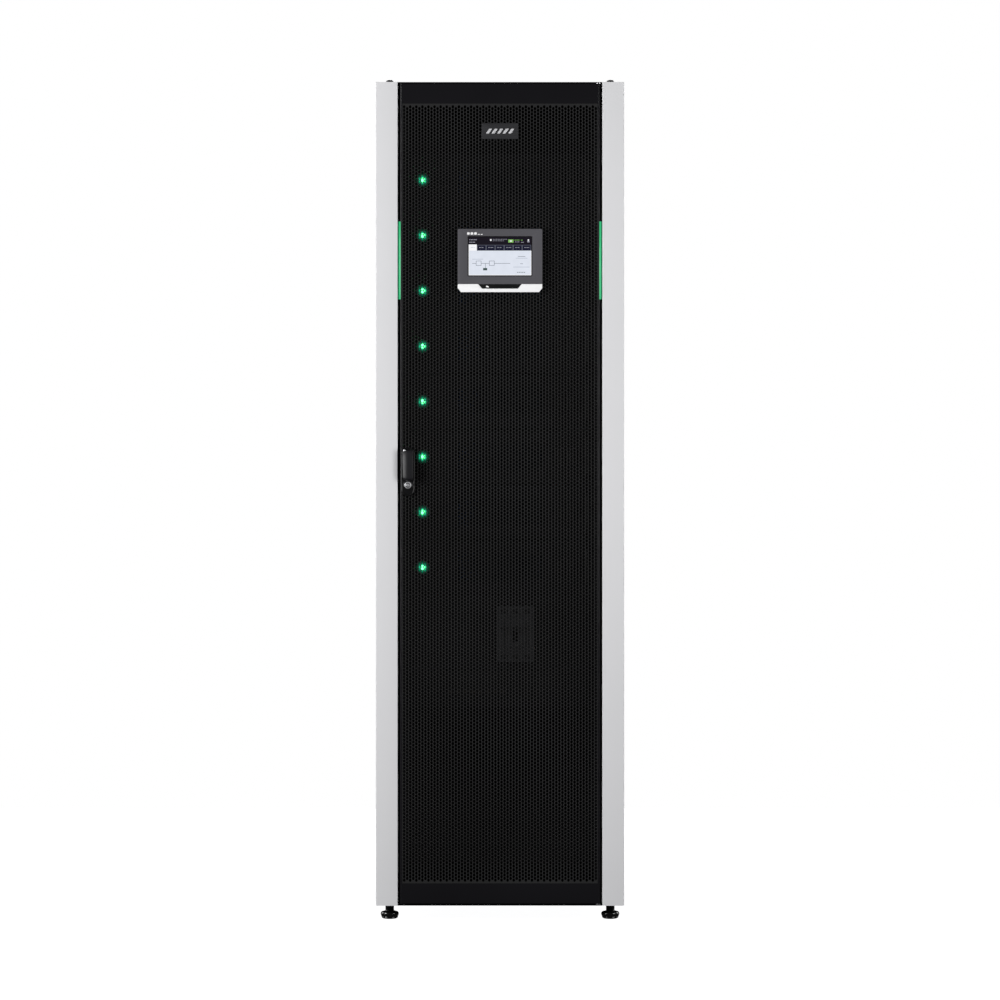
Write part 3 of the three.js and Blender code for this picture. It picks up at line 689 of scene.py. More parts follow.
# --- light bars
def glow_strip():
    """Green diffuser, palest towards the fascia."""
    finish = Finish("green_diffuser", 0.3, coat=0.1, shine=0.2)
    finish.drive("Base Color", (0.01, 0.10, 0.04, 1))
    parts = finish.node("ShaderNodeSeparateXYZ", Vector=finish.where)
    across = finish.node("ShaderNodeMath")
    across.operation = "ABSOLUTE"
    finish.set(across, 0, parts.outputs["X"])
    ends = {"From Min": 0.2395, "From Max": 0.2452}
    scaled = finish.node("ShaderNodeMapRange", Value=across.outputs[0], **ends)
    stops = [(0.0, (0.010, 0.22, 0.085)), (0.55, (0.024, 0.43, 0.165)), (1.0, (0.055, 0.62, 0.27))]
    finish.drive("Emission Color", finish.ramp(scaled.outputs[0], stops))
    finish.drive("Emission Strength", 1.0)
    return finish.material


def light_bars():
    material = glow_strip()
    for name, s in SIDES:
        x0, x1, y0, y1, z0, z1 = limits(f"light_bar_{name}")
        near, far = sorted((abs(x0), abs(x1)))
        bulge = arc(238, 10, 8.0, -83, -16, 8)
        outline = [p for p in bulge if near - 0.2 <= p[0] <= far + 0.2]
        outline += [(far, y1), (near, y0 + 0.5)]
        shape = Shape().prism(mirrored(outline, s), "z", z0, z1, 0.2)
        stand_in(f"light_bar_{name}", shape, material)


light_bars()


# --- display
HOUSING = limits("display_housing")
SCREEN = limits("display_screen")
TRIM = limits("display_trim")


def display_housing():
    x0, x1, y0, y1, z0, z1 = HOUSING
    face_back = SHEET_Y0 - 0.3
    shoulder = TRIM[5] + 0.3
    tongue, throat = 52, 43
    outline = [
        (x0, z1), (x0, shoulder), (-tongue, shoulder), (-throat, z0), (throat, z0),
        (tongue, shoulder), (x1, shoulder), (x1, z1),
    ]
    outline = filleted(outline, [2.5, 0.4, 1, 1.5, 1.5, 1, 0.4, 2.5])
    sx0, sx1, _, sy1, sz0, sz1 = SCREEN
    window = rounded(sx0 - 1.2, sx1 + 1.2, sz0 - 1.2, sz1 + 1.2, 1.0)
    shape = Shape()
    shape.prism(outline, "y", y0, sy1 + 0.3, 0.5, 2, holes=[window])
    shape.prism(outline, "y", sy1 + 0.3, face_back, 0.3)
    shape.prism(rounded(-94, 94, z0 + 22, z1 - 7, 4), "y", face_back, y1, 1.0)
    shape.slot = 1
    for i in range(9):  # cooling slots in the back
        z = z0 + 50 + i * 9
        shape.block(-60, 60, y1 - 0.4, y1 + 0.2, z, z + 4)
    stand_in("display_housing", shape, BEZEL, BLACK_PLASTIC)
    # The tongue is darker than the bezel and carries a small lit window.
    shape = Shape()
    darker = filleted(
        [(-tongue + 1, shoulder - 0.4), (-throat + 0.6, z0 + 0.8), (throat - 0.6, z0 + 0.8)]
        + [(tongue - 1, shoulder - 0.4)],
        [0.5, 1.2, 1.2, 0.5],
    )
    shape.prism(darker, "y", y0 - 0.15, y0 + 1, 0.1)
    piece("display_tongue_cover", shape, [BLACK_PLASTIC], "door")
    glow = [(-34, z0 + 3.6), (-27, z0 + 2.4), (-26.6, z0 + 4.6), (-32.6, z0 + 7.4)]
    shape = Shape().prism(filleted(glow, [1.2] * 4), "y", y0 - 0.3, y0 + 0.2, 0.1)
    piece("display_status_light", shape, [lit("status_white", (1, 1, 1))], "door")


def display_trim():
    x0, x1, y0, y1, z0, z1 = TRIM
    outline = filleted(
        [
            (x0, z1), (x0, z0 + 10), (x0 + 8, z0), (x1 - 8, z0), (x1, z0 + 10), (x1, z1),
            (52.5, z1), (43.5, z1 - 11), (-43.5, z1 - 11), (-52.5, z1),
        ],
        [0.6, 1.5, 2, 2, 1.5, 0.6, 1, 1.5, 1.5, 1],
    )
    shape = Shape().prism(outline, "y", y0, y1, 0.5, 3)
    stand_in("display_trim", shape, WHITE)


def display_screen():
    """Glass with a lit picture on it: a status bar, tabs and a plain diagram, with no lettering."""
    x0, x1, y0, y1, z0, z1 = SCREEN
    shape = Shape().prism(rounded(x0 - 1, x1 + 1, z0 - 1, z1 + 1, 0.8), "y", y0, y1, 0.15)
    stand_in("display_screen", shape, BLACK_PLASTIC)
    inks = {
        "bar": (0.008, 0.006, 0.012), "page": (0.75, 0.79, 0.88), "white": (0.95, 0.95, 0.98),
        "navy": (0.009, 0.010, 0.028), "rule": (0.14, 0.16, 0.20), "slate": (0.13, 0.14, 0.18),
        "faint": (0.42, 0.46, 0.55), "dark": (0.05, 0.085, 0.08), "green": (0.24, 0.52, 0.13),
        "pale": (0.34, 0.34, 0.40),
    }
    names = list(inks)
    picture = Shape()
    edge = 1.2
    left, top = x0 + edge, z1 - edge
    wide, tall = x1 - x0 - 2 * edge, z1 - z0 - 2 * edge

    def ink(name, layer, x, z, width, height, count=1, step=0):
        """A row of patches of one ink, the first placed from the picture's top left corner."""
        picture.slot = names.index(name)
        for k in range(count):
            at = left + x + step * k
            picture.block(at, at + width, y0 - 0.03 * layer, y0 + 0.1, top - z - height, top - z)

    bar, tabs, tab_wide = 17.6, 14.8, 20.6
    other = (wide - tab_wide) / 6
    ink("bar", 1, 0, 0, wide, bar + tabs)
    ink("page", 1, 0, bar + tabs, wide, tall - bar - tabs)
    ink("white", 2, 0, bar + tabs, 1.2, tall - bar - tabs)
    ink("white", 2, wide - 1.6, bar + tabs, 1.6, tall - bar - tabs)
    ink("white", 2, 0, tall - 1.4, wide, 1.4)
    ink("white", 2, 0, bar, tab_wide - 1, tabs)
    ink("slate", 2, tab_wide, bar + 1.2, other - 0.6, tabs - 2.4, 6, other)
    ink("navy", 3, tab_wide + 0.9, bar + 2.0, other - 2.4, tabs - 2.6, 6, other)
    for i in range(6):
        for k, width in enumerate((2.6, 1.8, 2.9, 1.6)[: 3 + i % 2]):
            ink("pale", 4, tab_wide + i * other + 5 + 3.4 * k, bar + 6.6, width, 1.5)
    ink("faint", 3, 5, bar + 6.8, 2.4, 1.1, 3, 3.4)
    for row, (z, count) in enumerate(((5.2, 5), (11.2, 4))):
        for k in range(count):
            ink("pale", 2, 1.6 + 3.8 * k, z, 2.4 + (k + row) % 2 * 0.7, 1.9)
    ink("white", 2, 51.5, 4.6, 3.6, 4.4)
    ink("pale", 2, 58, 4.6, 2.7, 1.1, 9, 4)
    ink("pale", 2, 58, 8.2, 2.7, 1.1, 7, 4)
    ink("green", 2, 95.5, 5.6, 12.5, 7.4)
    ink("white", 3, 99.5, 8.0, 4.5, 2.6)
    for x, z, width, name in (
        (110.5, 6.4, 5, "green"), (116.5, 6.4, 6, "green"), (111.5, 10.8, 4, "pale"),
        (117, 10.8, 5, "pale"), (126, 6.4, 4, "green"), (126, 11.6, 7, "pale"),
    ):
        ink(name, 2, x, z, width, 1.3)
    ink("white", 2, 142.4, 5.4, 3.2, 3.0)
    ink("pale", 2, 141.4, 8.8, 5.2, 3.6)
    ink("faint", 2, 8.5, 52.6, 26, 1.0)
    ink("rule", 2, 8.5, 62.8, 92, 0.9)
    ink("rule", 3, 17.6, 57.0, 12.8, 11.8, 2, 31.8)
    ink("page", 4, 18.5, 57.9, 11.0, 10.0, 2, 31.8)
    ink("rule", 2, 40, 63, 0.9, 12)
    ink("dark", 3, 34.8, 74.4, 9.8, 5.6)
    for z, width, name in (
        (46, 18, "rule"), (50.2, 28, "faint"), (63.6, 7, "rule"), (71.6, 40, "faint"),
    ):
        ink(name, 3, 127.5 - width / 2, z, width, 1.0)
    ink("dark", 3, 116.6, 84.0, 3.0, 1.4, 5, 4.1)
    materials = [lit(f"screen_{name}", color) for name, color in inks.items()]
    piece("display_picture", picture, materials, "door")


def bezel_marks():
    """A plain row of pale bars and small dots at the top left of the bezel."""
    shape = Shape()
    x, z = -79.5, HOUSING[5] - 14
    for width, height in ((6.4, 5.6), (6.4, 5.6), (6.4, 5.6), (5.0, 1.6), (5.0, 1.6)):
        outline = rounded(x, x + width, z, z + height, height * 0.3)
        shape.prism(outline, "y", HOUSING[2] - 0.2, HOUSING[2] + 0.3)
        x += width + 2.2
    piece("display_marks", shape, [WHITE], "door")


display_housing()
display_trim()
display_screen()
bezel_marks()


def badge():
    """Dark plate with a plain raised motif of slanted bars."""
    x0, x1, y0, y1, z0, z1 = limits("badge_plate")
    shape = Shape().prism(rounded(x0, x1, z0, z1, 2.0), "y", y0 + 0.6, y1, 0.8, 3)
    shape.slot = 1
    middle = (z0 + z1) / 2
    slant, half = 4.0, 6.0
    for i in range(5):
        x = -30 + i * 13.4
        bar = [
            (x - slant, middle - half), (x + 7 - slant, middle - half),
            (x + 7 + slant, middle + half), (x + slant, middle + half),
        ]
        shape.prism(filleted(bar, [0.8] * 4), "y", y0, y0 + 1, 0.2)
    stand_in("badge_plate", shape, BADGE_METAL, MOTIF_METAL)


badge()


# --- latch
LATCH = limits("latch_pan")
LATCH_X = (LATCH[0] + LATCH[1]) / 2
LATCH_HALF = (LATCH[1] - LATCH[0]) / 2


def latch_pan():
    """Shallow dish with a raised rim, round ends and a boss through the door."""
    _, _, y0, y1, z0, z1 = LATCH
    rim = stadium(LATCH_X, LATCH_HALF, z0, z1)
    dish = stadium(LATCH_X, LATCH_HALF - 3.2, z0 + 3.2, z1 - 3.2)
    shape = Shape()
    shape.prism(rim, "y", y0, y0 + 3.2, 1.5, 4, holes=[dish])
    floor = stadium(LATCH_X, LATCH_HALF - 0.6, z0 + 0.6, z1 - 0.6)
    shape.prism(floor, "y", y0 + 1.6, SHEET_Y0 - 0.3, 0.3)
    shape.block(LATCH_X - 12, LATCH_X + 12, SHEET_Y0 - 1, y1, z0 + 8, z1 - 4, 1.5)
    shape.slot = 1
    boss = [(11, 0), (11, -1.6), (9.6, -2.6)]
    shape.lathe(boss, (LATCH_X, y0 + 1.8, LOCK_Z), "y", 40)
    stand_in("latch_pan", shape, BLACK_PLASTIC, DARK_STEEL)


def latch_lever():
    """Lever with its left half rounded over: level sections from its free end up over its pivot."""
    x0, x1, y0, y1, z0, z1 = limits("latch_lever")
    half = (x1 - x0) / 2 + 1
    hub = 7.6
    bow = 24.0  # radius of the rounded half
    crest = 0.1  # where it starts, as a share of the half width
    across = [(1.0, 1.6), (0.97, 0.45), (0.88, 0.0), (0.5, 0.0), (crest, 0.0)]
    for k in range(1, 9):
        u = crest - (1 + crest) * k / 8
        across.append((u, bow - math.sqrt(bow ** 2 - ((crest - u) * half) ** 2)))
    pivot_y, pivot_z = y1 - hub, z1 - hub
    rise = pivot_z - z0
    tip = half * 0.7
    heights = [z0 + tip * (1 - math.cos(math.radians(a))) for a in range(6, 91, 12)]
    heights += [z0 + tip + (rise - tip) * k / 6 for k in range(1, 7)]
    heights += [pivot_z + hub * math.sin(math.radians(a)) for a in range(8, 81, 8)]
    sections = []
    for z in heights:
        low = z - z0
        width = half * (0.92 + 0.08 * min(1.0, low / rise))
        front, back = y0 + 0.8 * (1 - math.sin(math.pi * min(1.0, low / rise))), y1
        if low < tip:
            turn = math.sqrt(1 - (1 - low / tip) ** 2)
            width *= max(0.3, turn)
            front += (back - front) * 0.45 * (1 - turn)
        if z > pivot_z:
            reach = math.sqrt(hub ** 2 - (z - pivot_z) ** 2)
            front, back = pivot_y - reach, pivot_y + reach
            width *= 1 - 0.20 * ((z - pivot_z) / hub) ** 3
        flatness = min(1.0, (back - front) / 12)
        row = [(LATCH_X + width * u, front + drop * flatness, z) for u, drop in across]
        sections.append([(LATCH_X + width * 0.97, back, z), *row, (LATCH_X - width * 0.97, back, z)])
    made = stand_in("latch_lever", Shape().loft(sections), LEVER_PLASTIC)
    slot = Shape().block(LATCH_X - 5.4, LATCH_X + 5.4, pivot_y - 5.6, y1 + 2, pivot_z - 10.5, z1 + 3)
    carved(made, slot)
    pin = Shape().lathe(
        [(3.4, 2.5), *[(r, -h) for r, h in arc(0, 0, 3.4, 0, 80, 6)], (0, -3.4)],
        (LATCH_X - 8.2, pivot_y - 3.0, pivot_z + 5.0), "y", 24,
    )
    piece("latch_lever_pin", pin, [STEEL], "latch_lever")


LOCK = limits("lock_cylinder")
LOCK_Z = (LOCK[4] + LOCK[5]) / 2


def lock_cylinder():
    x0, x1, y0, y1, _, _ = LOCK
    radius = (x1 - x0) / 2 - 0.3
    shape = Shape().lathe(
        [
            (radius, y1 - y0), (radius, 1.6), (radius - 1.2, 0.3), (radius - 2.0, 0),
            (radius - 2.6, 1.4), (radius - 4.0, 1.4), (radius - 4.4, 0.4), (radius - 5.0, 0.1),
        ],
        (LATCH_X, y0, LOCK_Z), "y", 48,
    )
    shape.slot = 1
    groove = arc(LATCH_X, LOCK_Z, radius - 2.6, 0, 360, 40)[:-1]
    core = arc(LATCH_X, LOCK_Z, radius - 4.0, 0, 360, 40)[:-1]
    shape.prism(groove, "y", y0 + 0.8, y0 + 1.6, holes=[core])
    made = stand_in("lock_cylinder", shape, CHROME, BLACK_STEEL)
    key = Shape().block(LATCH_X - 0.7, LATCH_X + 0.7, y0 - 1, y0 + 4, LOCK_Z - 3.6, LOCK_Z + 3.6)
    carved(made, key)


latch_pan()
latch_lever()
lock_cylinder()
recoat("latch_spindle", STEEL)
for end in ("lower", "upper"):
    recoat(f"hinge_pin_{end}", STEEL)


# --- feet and lifting bolts
def levelling_foot(node):
    """Round-shouldered pad on a threaded stud, with a lock nut against the base."""
    x0, x1, y0, y1, z0, z1 = limits(node)
    x, y = (x0 + x1) / 2, (y0 + y1) / 2
    radius = (x1 - x0) / 2 + 0.9
    deck = limits("base_pan")[4]
    shape = Shape()
    pad = [(0, 0), (9, 0.3), (15.5, 1.3), (19.2, 3.2)]
    pad += [(20.0, 5.0), (19.7, 6.0), (20.4, 7.0)]  # the ring pressed round its foot
    pad += arc(radius - 5.5, 13.0, 6.0, -20, 60, 8)
    pad += [(14.5, 19.4), (11.0, 20.4), (7, 20.4)]
    shape.lathe(pad, (x, y, z0), "z", 48)
    collar = [(10.8, 20.0)]
    turns = 9
    step = (deck - 20.6) / turns
    for i in range(turns):
        collar += [(10.8, 20.2 + i * step), (10.1, 20.2 + (i + 0.5) * step)]
    collar += [(10.8, deck - 0.5), (9.8, deck - 0.3)]
    shape.lathe(collar, (x, y, z0), "z", 32)
    thread = [(0, deck - 0.5)]
    pitch = 1.75
    for i in range(int((z1 - deck) / pitch)):
        thread += [(5.9, deck - 0.4 + i * pitch), (5.2, deck - 0.4 + (i + 0.5) * pitch)]
    shape.lathe([*thread, (4.6, z1)], (x, y, z0), "z", 20)
    stand_in(node, shape, FOOT_COAT)


def lifting_bolt(node):
    x0, x1, y0, y1, z0, z1 = limits(node)
    x, y = (x0 + x1) / 2, (y0 + y1) / 2
    radius = (x1 - x0) / 2
    roof = limits("roof_pan")[5]
    rise = z1 - roof
    head = [
        (radius, 0.3), (radius, rise * 0.66), (radius * 0.96, rise * 0.8),
        (radius * 0.85, rise * 0.92), (radius * 0.66, rise), (3.6, rise), (3.3, rise - 0.4),
        (3.3, rise - 5),
    ]
    shape = Shape().lathe(head, (x, y, roof), "z", 32)
    shape.lathe([(5.5, z0 - roof), (5.5, 0.5)], (x, y, roof), "z", 16)
    stand_in(node, shape, DARK_STEEL)


for corner in CORNERS:
    levelling_foot(f"levelling_foot_{corner}")
    lifting_bolt(f"lifting_bolt_{corner}")


# --- panels
def side_panel(name, s):
    """Flat panel with a shallow pressed field, its edges rounded, and two quarter-turn latches."""
    x0, x1, y0, y1, z0, z1 = limits(f"side_panel_{name}")
    outer, inner = s * max(abs(x0), abs(x1)), s * min(abs(x0), abs(x1))
    shape = Shape()
    whole = rounded(y0, y1, z0, z1, 3)
    middle = (z0 + z1) / 2
    spans = ((z0 + 30, middle - 12), (middle + 12, z1 - 30))
    fields = [rounded(y0 + 30, y1 - 30, low, high, 12) for low, high in spans]
    shape.prism(whole, "x", *sorted((inner, outer - s * 0.7)))
    shape.prism(whole, "x", *sorted((outer - s * 0.8, outer)), 0.3, 2, holes=fields)
    shape.slot = 1
    for y in (y0 + 15, y1 - 15):
        for z in (z0 + 120, middle, z1 - 120):
            shape.lathe([(7, 0), (7, -s * 0.2), (6.4, -s * 0.3)], (outer, y, z), "x", 28)
    stand_in(f"side_panel_{name}", shape, PANEL_COAT, DARK_STEEL)


def rear_panel():
    """Screwed-on panel with two perforated fields and a filter mat behind each."""
    x0, x1, y0, y1, z0, z1 = limits("rear_panel")
    shape = Shape()
    fields = [(-230, 230, low, low + 700) for low in (z0 + 150, z1 - 850)]
    windows = [rectangle(*field) for field in fields]
    shape.prism(rounded(x0, x1, z0, z1, 4), "y", y0, y1, 0.0, holes=windows)
    for field in fields:
        perforated(shape, field, 32, 43, 16.0, 12.4, y0, y1)
    shape.bm.normal_update()
    for face in shape.bm.faces:
        face.material_index = int(face.normal.y < -0.9)  # the inside takes the darker coat: painted shade inside the cabinet
    shape.slot = 2
    for s in (-1, 1):
        for i in range(6):
            z = z0 + 20 + i * (z1 - z0 - 40) / 5
            shape.screw(s * (x1 - 12), y1 - 2.2, z, 4.0, 1)
    shape.slot = 3
    for _, _, low, high in fields:
        shape.block(-236, 236, y0 - 6, y0 - 0.3, low - 6, high + 6, 2)
    stand_in("rear_panel", shape, PANEL_COAT, SHADED_INNER_COAT, DARK_STEEL, RUBBER)


def roof():
    """Gland plate with rounded corners, brush slots, and screws round its edge."""
    x0, x1, y0, y1, z0, z1 = limits("roof_gland_plate")
    shape = Shape()
    slots_in = [rounded(-130, 130, y, y + 34, 8) for y in (y0 + 36, y0 + 110)]
    shape.prism(rounded(x0, x1, y0, y1, 8), "z", z0, z1, 0.6, holes=slots_in)
    stand_in("roof_gland_plate", shape, PANEL_COAT)
    brush = Shape()
    for y in (y0 + 36, y0 + 110):
        brush.block(-134, 134, y - 3, y + 37, z0 - 0.2, z0 + 0.6)
        count = 64
        for i in range(count):
            x = -129 + 258 * i / (count - 1)
            brush.block(x - 0.9, x + 0.9, y + 1, y + 33, z0 + 0.4, z0 + 1.9)
    piece("roof_gland_brushes", brush, [RUBBER], "cabinet")
    screws = Shape()
    for x in (x0 + 12, 0, x1 - 12):
        for y in (y0 + 12, y1 - 12):
            screws.screw(x, y, z1 - 0.3, 3.5, 1, "z")
    piece("roof_screws", screws, [DARK_STEEL], "cabinet")


for side in SIDES:
    side_panel(*side)
rear_panel()
roof()
# The base pan and the corner posts take the darker inner coat: painted shade inside the cabinet.
recoat("base_pan", SHADED_INNER_COAT)
recoat("roof_pan", PANEL_COAT)
for corner in CORNERS:
    recoat(f"corner_post_{corner}", SHADED_INNER_COAT)


# --- rack
RACK_UNIT = 44.45


def rack_rail(name, s):
    """Front rail: a flange with square holes in threes, one set to a rack unit, and a side web."""
    x0, x1, y0, y1, z0, z1 = limits(f"rack_rail_front_{name}")
    inner, outer = sorted((abs(x0), abs(x1)))
    middle = (inner + outer) / 2
    heights = [z0]
    for unit in range(int((z1 - z0 - 8) / RACK_UNIT)):
        base = z0 + 8 + unit * RACK_UNIT
        for rise in (6.35, 22.225, 38.1):
            heights += [base + rise - 4.75, base + rise + 4.75]
    heights.append(z1)
    shape = Shape()
    across = (inner, middle - 4, middle + 4, outer)
    lattice(shape, sorted(s * u for u in across), heights, y0, y0 + 2, lambda i, j: i == 1 and j % 2)
    shape.prism(mirrored(rectangle(outer - 2, outer, y0 + 2, y1), s), "z", z0, z1)
    # The rails take the darker inner coat: painted shade inside the cabinet.
    stand_in(f"rack_rail_front_{name}", shape, SHADED_INNER_COAT)
    recoat(f"rack_rail_rear_{name}", SHADED_INNER_COAT)


def module_runners(name, s):
    """Angle under each side of every module, from the front rail to the rear one."""
    y0 = limits(f"rack_rail_front_{name}")[2] + 3
    y1 = limits(f"rack_rail_rear_{name}")[3] - 3
    shape = Shape()
    for i in range(1, MODULES + 1):
        bottom = limits(f"battery_module_{i}_case")[4]
        leg = [
            (s * 196, bottom - 0.4), (s * 196, bottom - 1.9), (s * 223.2, bottom - 1.9),
            (s * 223.2, bottom + 26), (s * 221.7, bottom + 26), (s * 221.7, bottom - 0.4),
        ]
        shape.prism(leg, "y", y0, y1)
    piece(f"module_runners_{name}", shape, [BLACK_STEEL], "cabinet")


for side in SIDES:
    rack_rail(*side)
    module_runners(*side)


# --- battery modules
LAMP_X = -188.4
LAMP = lit("status_lamp", (0.08, 1.0, 0.20), 6.0)
# Flat rings round each status lamp that shine by themselves, dimmer outwards: the lamp's glow, painted
# on the module front.
PAINTED_HALOS = [
    lit("lamp_painted_halo_inner", (0.02, 0.55, 0.28), 1.0, vary=0.2),
    lit("lamp_painted_halo_middle", (0.001, 0.150, 0.075), 1.0, vary=0.2),
    lit("lamp_painted_halo_outer", (0.001, 0.034, 0.018), 1.0, vary=0.2),
]


def module_front(i, z, front):
    """Handles, screws, lamp with rings of painted glow round it, and sockets on the front of one
    module.
    """
    handles = Shape()
    for s in (-1, 1):
        x = s * 212
        bow = arc(front - 26, z + 40, 8, 90, 180, 5) + arc(front - 26, z - 40, 8, 180, 270, 5)
        grip = [(x, y, h) for y, h in bow]
        handles.tube([(x, front + 1, z + 48), *grip, (x, front + 1, z - 48)], 4.2)
        for h in (z + 48, z - 48):
            handles.lathe([(8, 0.5), (8, -1.5), (7, -2.4)], (x, front, h), "y", 24)
    piece(f"module_{i}_handles", handles, [SHADED_INNER_PLASTIC], "cabinet")
    screws = Shape()
    ear_screws(screws, front, (z - 50, z + 50))
    piece(f"module_{i}_screws", screws, [BLACK_STEEL], "cabinet")
    lamp = Shape()
    dome = [(r, -2.0 - h) for r, h in arc(0, 0, 5.4, 12, 80, 6)]
    lamp.lathe([(5.4, 1), (5.4, -2.0), *dome, (0, -7.4)], (LAMP_X, front, z), "y", 28)
    # Three rings of painted glow round the lamp.
    for slot, radius in ((1, 8.8), (2, 12.0), (3, 16.0)):
        lamp.slot = slot
        lift = 1.8 - slot * 0.4
        lamp.lathe([(radius, 0.5), (radius, -lift)], (LAMP_X, front, z), "y", 32)
    piece(f"module_{i}_status_lamp", lamp, [LAMP, *PAINTED_HALOS], "cabinet")
    sockets = Shape()
    for k in range(2):  # power sockets with two pins each
        sockets.slot = k
        x = 146 + k * 30
        sockets.block(x - 11, x + 11, front - 9, front + 1, z - 20, z + 20, 2)
        sockets.slot = 2
        for h in (z - 8, z + 8):
            pin = [(5, 1), (5, -0.6), (3.2, -0.6), (3.2, 0.4)]
            sockets.lathe(pin, (x, front - 9, h), "y", 20)
    for k in range(2):  # network sockets
        x = -152 + k * 18
        sockets.slot = 0
        sockets.block(x - 7, x + 7, front - 2.4, front + 1, z - 22, z - 9, 0.6)
        sockets.slot = 2
        sockets.block(x - 5, x + 5, front - 2.6, front - 2, z - 20, z - 13)
    # The socket bodies take the darker inner plastic and coat: painted shade inside the cabinet.
    kinds = [SHADED_INNER_PLASTIC, SHADED_INNER_COAT, CONTACT]
    piece(f"module_{i}_sockets", sockets, kinds, "cabinet")


def battery_module(i):
    node = f"battery_module_{i}_case"
    x0, x1, y0, y1, z0, z1 = limits(node)
    z = (z0 + z1) / 2
    shape = Shape()
    vent = (-112, 112, z - 40, z + 40)
    corners = [(x, h) for x in (-EAR_X, EAR_X) for h in (z - 50, z + 50)]
    ears = [rounded(x - 5, x + 5, h - 3.4, h + 3.4, 3.3) for x, h in corners]
    shape.prism(rounded(x0, x1, z0, z1, 2), "y", y0, y0 + 3, 0.5, holes=[rectangle(*vent), *ears])
    perforated(shape, vent, 24, 7, 10.0, 7.4, y0 + 1, y0 + 2.4)
    side, low, high, wall = 220, z0 + 0.5, z1 - 0.5, 1.5
    sleeve = rectangle(-side, side, low, high)
    inside = rectangle(-side + wall, side - wall, low + wall, high - wall)
    shape.prism(sleeve, "y", y0 + 3, y1 - wall, 0.0, holes=[inside])
    openings = [rectangle(s * 150 - 18, s * 150 + 18, z - 8, z + 8) for s in (-1, 1)]
    shape.prism(sleeve, "y", y1 - wall, y1, 0.0, holes=openings)
    stand_in(node, shape, SHADED_MODULE_COAT)
    recoat(f"battery_module_{i}_cells", CELL_SLEEVE)
    module_front(i, z, y0)


for number in range(1, MODULES + 1):
    battery_module(number)


# --- breaker and control unit
def breaker():
    """Moulded case with a raised front, and the plate it stands in."""
    x0, x1, y0, y1, z0, z1 = limits("breaker_body")
    x, z = (x0 + x1) / 2, (z0 + z1) / 2
    shelf = y0 + 6
    slot = rectangle(x - 7, x + 7, z - 18, z + 18)
    shape = Shape()
    shape.prism(rounded(x0, x1, z0, z1, 3), "y", shelf, shelf + 30, 1.0, 3, holes=[slot])
    shape.block(x0 + 1, x1 - 1, shelf + 30, y1, z0 + 1, z1 - 1, 0.8)
    raised = rounded(x - 24, x + 24, z - 32, z + 32, 2)
    shape.prism(raised, "y", y0, shelf + 0.5, 0.8, 3, holes=[slot])
    shape.slot = 1
    for cz in (z - 55, z + 55):  # terminal recesses
        for cx in (x - 28, x, x + 28):
            shape.block(cx - 9, cx + 9, shelf - 0.5, shelf + 1, cz - 6, cz + 6, 0.4)
    for low in (z + 42, z - 42.8):
        shape.block(x0 + 2, x1 - 2, shelf - 0.2, shelf + 0.5, low, low + 0.8)
    shape.block(x0 + 8, x1 - 8, y0 - 0.2, shelf + 0.5, z + 13, z + 16)
    stand_in("breaker_body", shape, BREAKER_CASE, BLACK_PLASTIC)
    recoat("breaker_toggle", BLACK_PLASTIC)
    bx0, bx1, by0, by1, bz0, bz1 = limits("breaker_panel")
    plate = Shape()
    opening = rectangle(x0 - 1, x1 + 1, z0 - 1, z1 + 1)
    plate.prism(rounded(bx0, bx1, bz0, bz1, 2), "y", by0, by1, 0.5, holes=[opening])
    plate.slot = 1
    ear_screws(plate, by0, (bz0 + 16, bz1 - 16))
    stand_in("breaker_panel", plate, SHADED_MODULE_COAT, BLACK_STEEL)


def control_unit():
    """Box with a row of network sockets and four buttons."""
    x0, x1, y0, y1, z0, z1 = limits("control_unit")
    z = (z0 + z1) / 2
    shape = Shape()
    shape.prism(rounded(x0, x1, z0, z1, 2), "y", y0, y0 + 3, 0.5)
    shape.block(-220, 220, y0 + 3, y1, z0 + 2, z1 - 2, 0.5)
    for cx in range(-120, 24, 18):
        shape.slot = 1
        shape.block(cx - 7.5, cx + 7.5, y0 - 1.6, y0 + 1, z - 14, z, 0.5)
        shape.slot = 2
        shape.block(cx - 5, cx + 5, y0 - 1.8, y0 - 1.2, z - 11, z - 4)
    shape.slot = 1
    for cx in range(70, 134, 16):
        shape.lathe([(5.5, 1), (5.5, -2.4), (4.4, -3)], (cx, y0, z - 6), "y", 24)
    shape.slot = 3
    ear_screws(shape, y0, (z0 + 16, z1 - 16))
    stand_in("control_unit", shape, SHADED_MODULE_COAT, SHADED_INNER_PLASTIC, CONTACT, BLACK_STEEL)


def busbars():
    """Copper bars, each on five plastic blocks."""
    shape = Shape()
    for pole in ("positive", "negative"):
        recoat(f"busbar_{pole}", COPPER)
        x0, x1, _, y1, z0, z1 = limits(f"busbar_{pole}")
        x = x0 + 15 if x0 < 0 and x1 < 100 else x1 - 15
        for i in range(5):
            h = z0 + 90 + i * (z1 - z0 - 180) / 4
            shape.block(x - 24, x + 24, y1 + 0.4, y1 + 18, h - 10, h + 10, 2)
    piece("busbar_supports", shape, [ORANGE_PLASTIC], "cabinet")


breaker()
control_unit()
busbars()


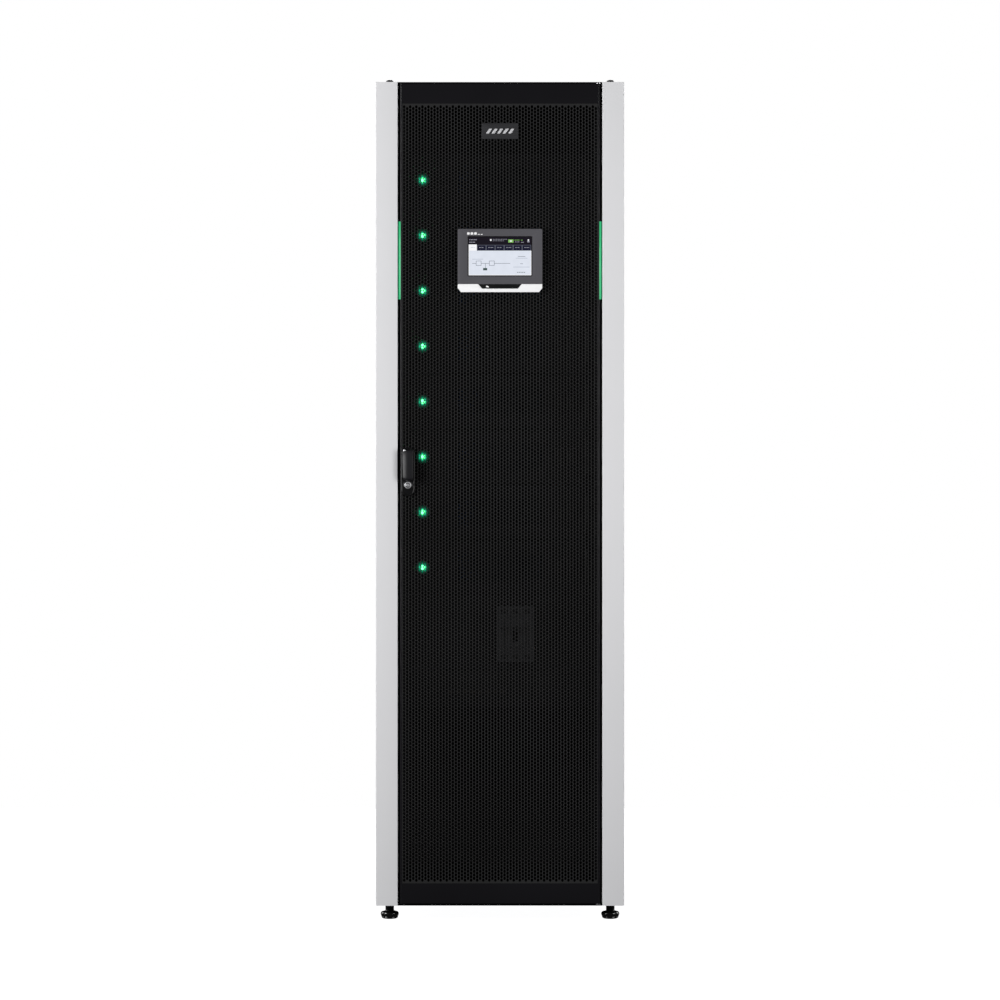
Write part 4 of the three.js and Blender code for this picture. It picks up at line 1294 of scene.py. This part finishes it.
# --- stage, light and camera
def stage():
    """Floor that shines evenly, so that it stays as light as the background."""
    floor = bpy.data.meshes.new("floor")
    corners = [(-3.2, -3.4, 0), (3.2, -3.4, 0), (3.2, 2.8, 0), (-3.2, 2.8, 0)]
    floor.from_pydata(corners, [], [(0, 1, 2, 3)])
    paint = Finish("floor_paint", 0.8, shine=0.1)
    grain = paint.noise(40.0)
    grey = paint.ramp(grain, [(0.3, (0.12, 0.12, 0.12)), (0.7, (0.14, 0.14, 0.14))])
    white = paint.ramp(grain, [(0.3, (0.96, 0.96, 0.965)), (0.7, (0.98, 0.98, 0.985))])
    paint.drive("Base Color", grey)
    paint.drive("Emission Color", white)
    paint.drive("Emission Strength", 1.02)
    floor.materials.append(paint.material)
    made = add("floor", floor)
    made.visible_diffuse = False
    made.visible_glossy = False


def soft_box(name, where, target, width, height, power):
    light = bpy.data.lights.new(name, "AREA")
    light.shape = "RECTANGLE"
    light.size = width
    light.size_y = height
    light.energy = power
    made = add(name, light)
    made.visible_camera = False
    made.location = where
    made.rotation_euler = (Vector(target) - made.location).to_track_quat("-Z", "Y").to_euler()


def surroundings():
    """White to the eye, a dimmer grey as a source of light."""
    world = bpy.data.worlds.new("studio")
    scene.world = world
    world.use_nodes = True
    tree = world.node_tree
    mix = tree.nodes.new("ShaderNodeMixShader")
    for socket, strength in ((1, 0.06), (2, 1.0)):
        shade = tree.nodes.new("ShaderNodeBackground")
        shade.inputs["Color"].default_value = (1, 1, 1, 1)
        shade.inputs["Strength"].default_value = strength
        tree.links.new(shade.outputs[0], mix.inputs[socket])
    path = tree.nodes.new("ShaderNodeLightPath")
    tree.links.new(path.outputs["Is Camera Ray"], mix.inputs[0])
    tree.links.new(mix.outputs[0], tree.nodes["World Output"].inputs["Surface"])


def camera():
    data = bpy.data.cameras.new("camera")
    data.sensor_width = 36.0
    data.lens = 134.2
    data.clip_end = 200
    made = add("camera", data)
    made.location = (0.0, FRONT * MM - CAMERA_DISTANCE, 1.0176)
    made.rotation_euler = (math.radians(90), 0, 0)
    scene.camera = made


stage()
surroundings()
camera()
target = (0, -0.3, 1.2)
soft_box("left_box", (-3.0, -2.2, 1.62), target, 1.2, 1.9, 134)
soft_box("right_box", (2.2, -2.2, 1.4), target, 0.7, 1.5, 49)
soft_box("side_box", (4.6, -2.9, 1.5), target, 1.4, 2.4, 18)
soft_box("back_box", (0, 4.4, 4.6), target, 4.0, 2.0, 210)
soft_box("rear_left_box", (-4.6, 1.8, 2.2), (0, 0.2, 1.0), 2.0, 2.6, 130)
soft_box("rear_right_box", (4.6, 1.8, 2.2), (0, 0.2, 1.0), 2.0, 2.6, 130)
scene.view_settings.view_transform = "Standard"
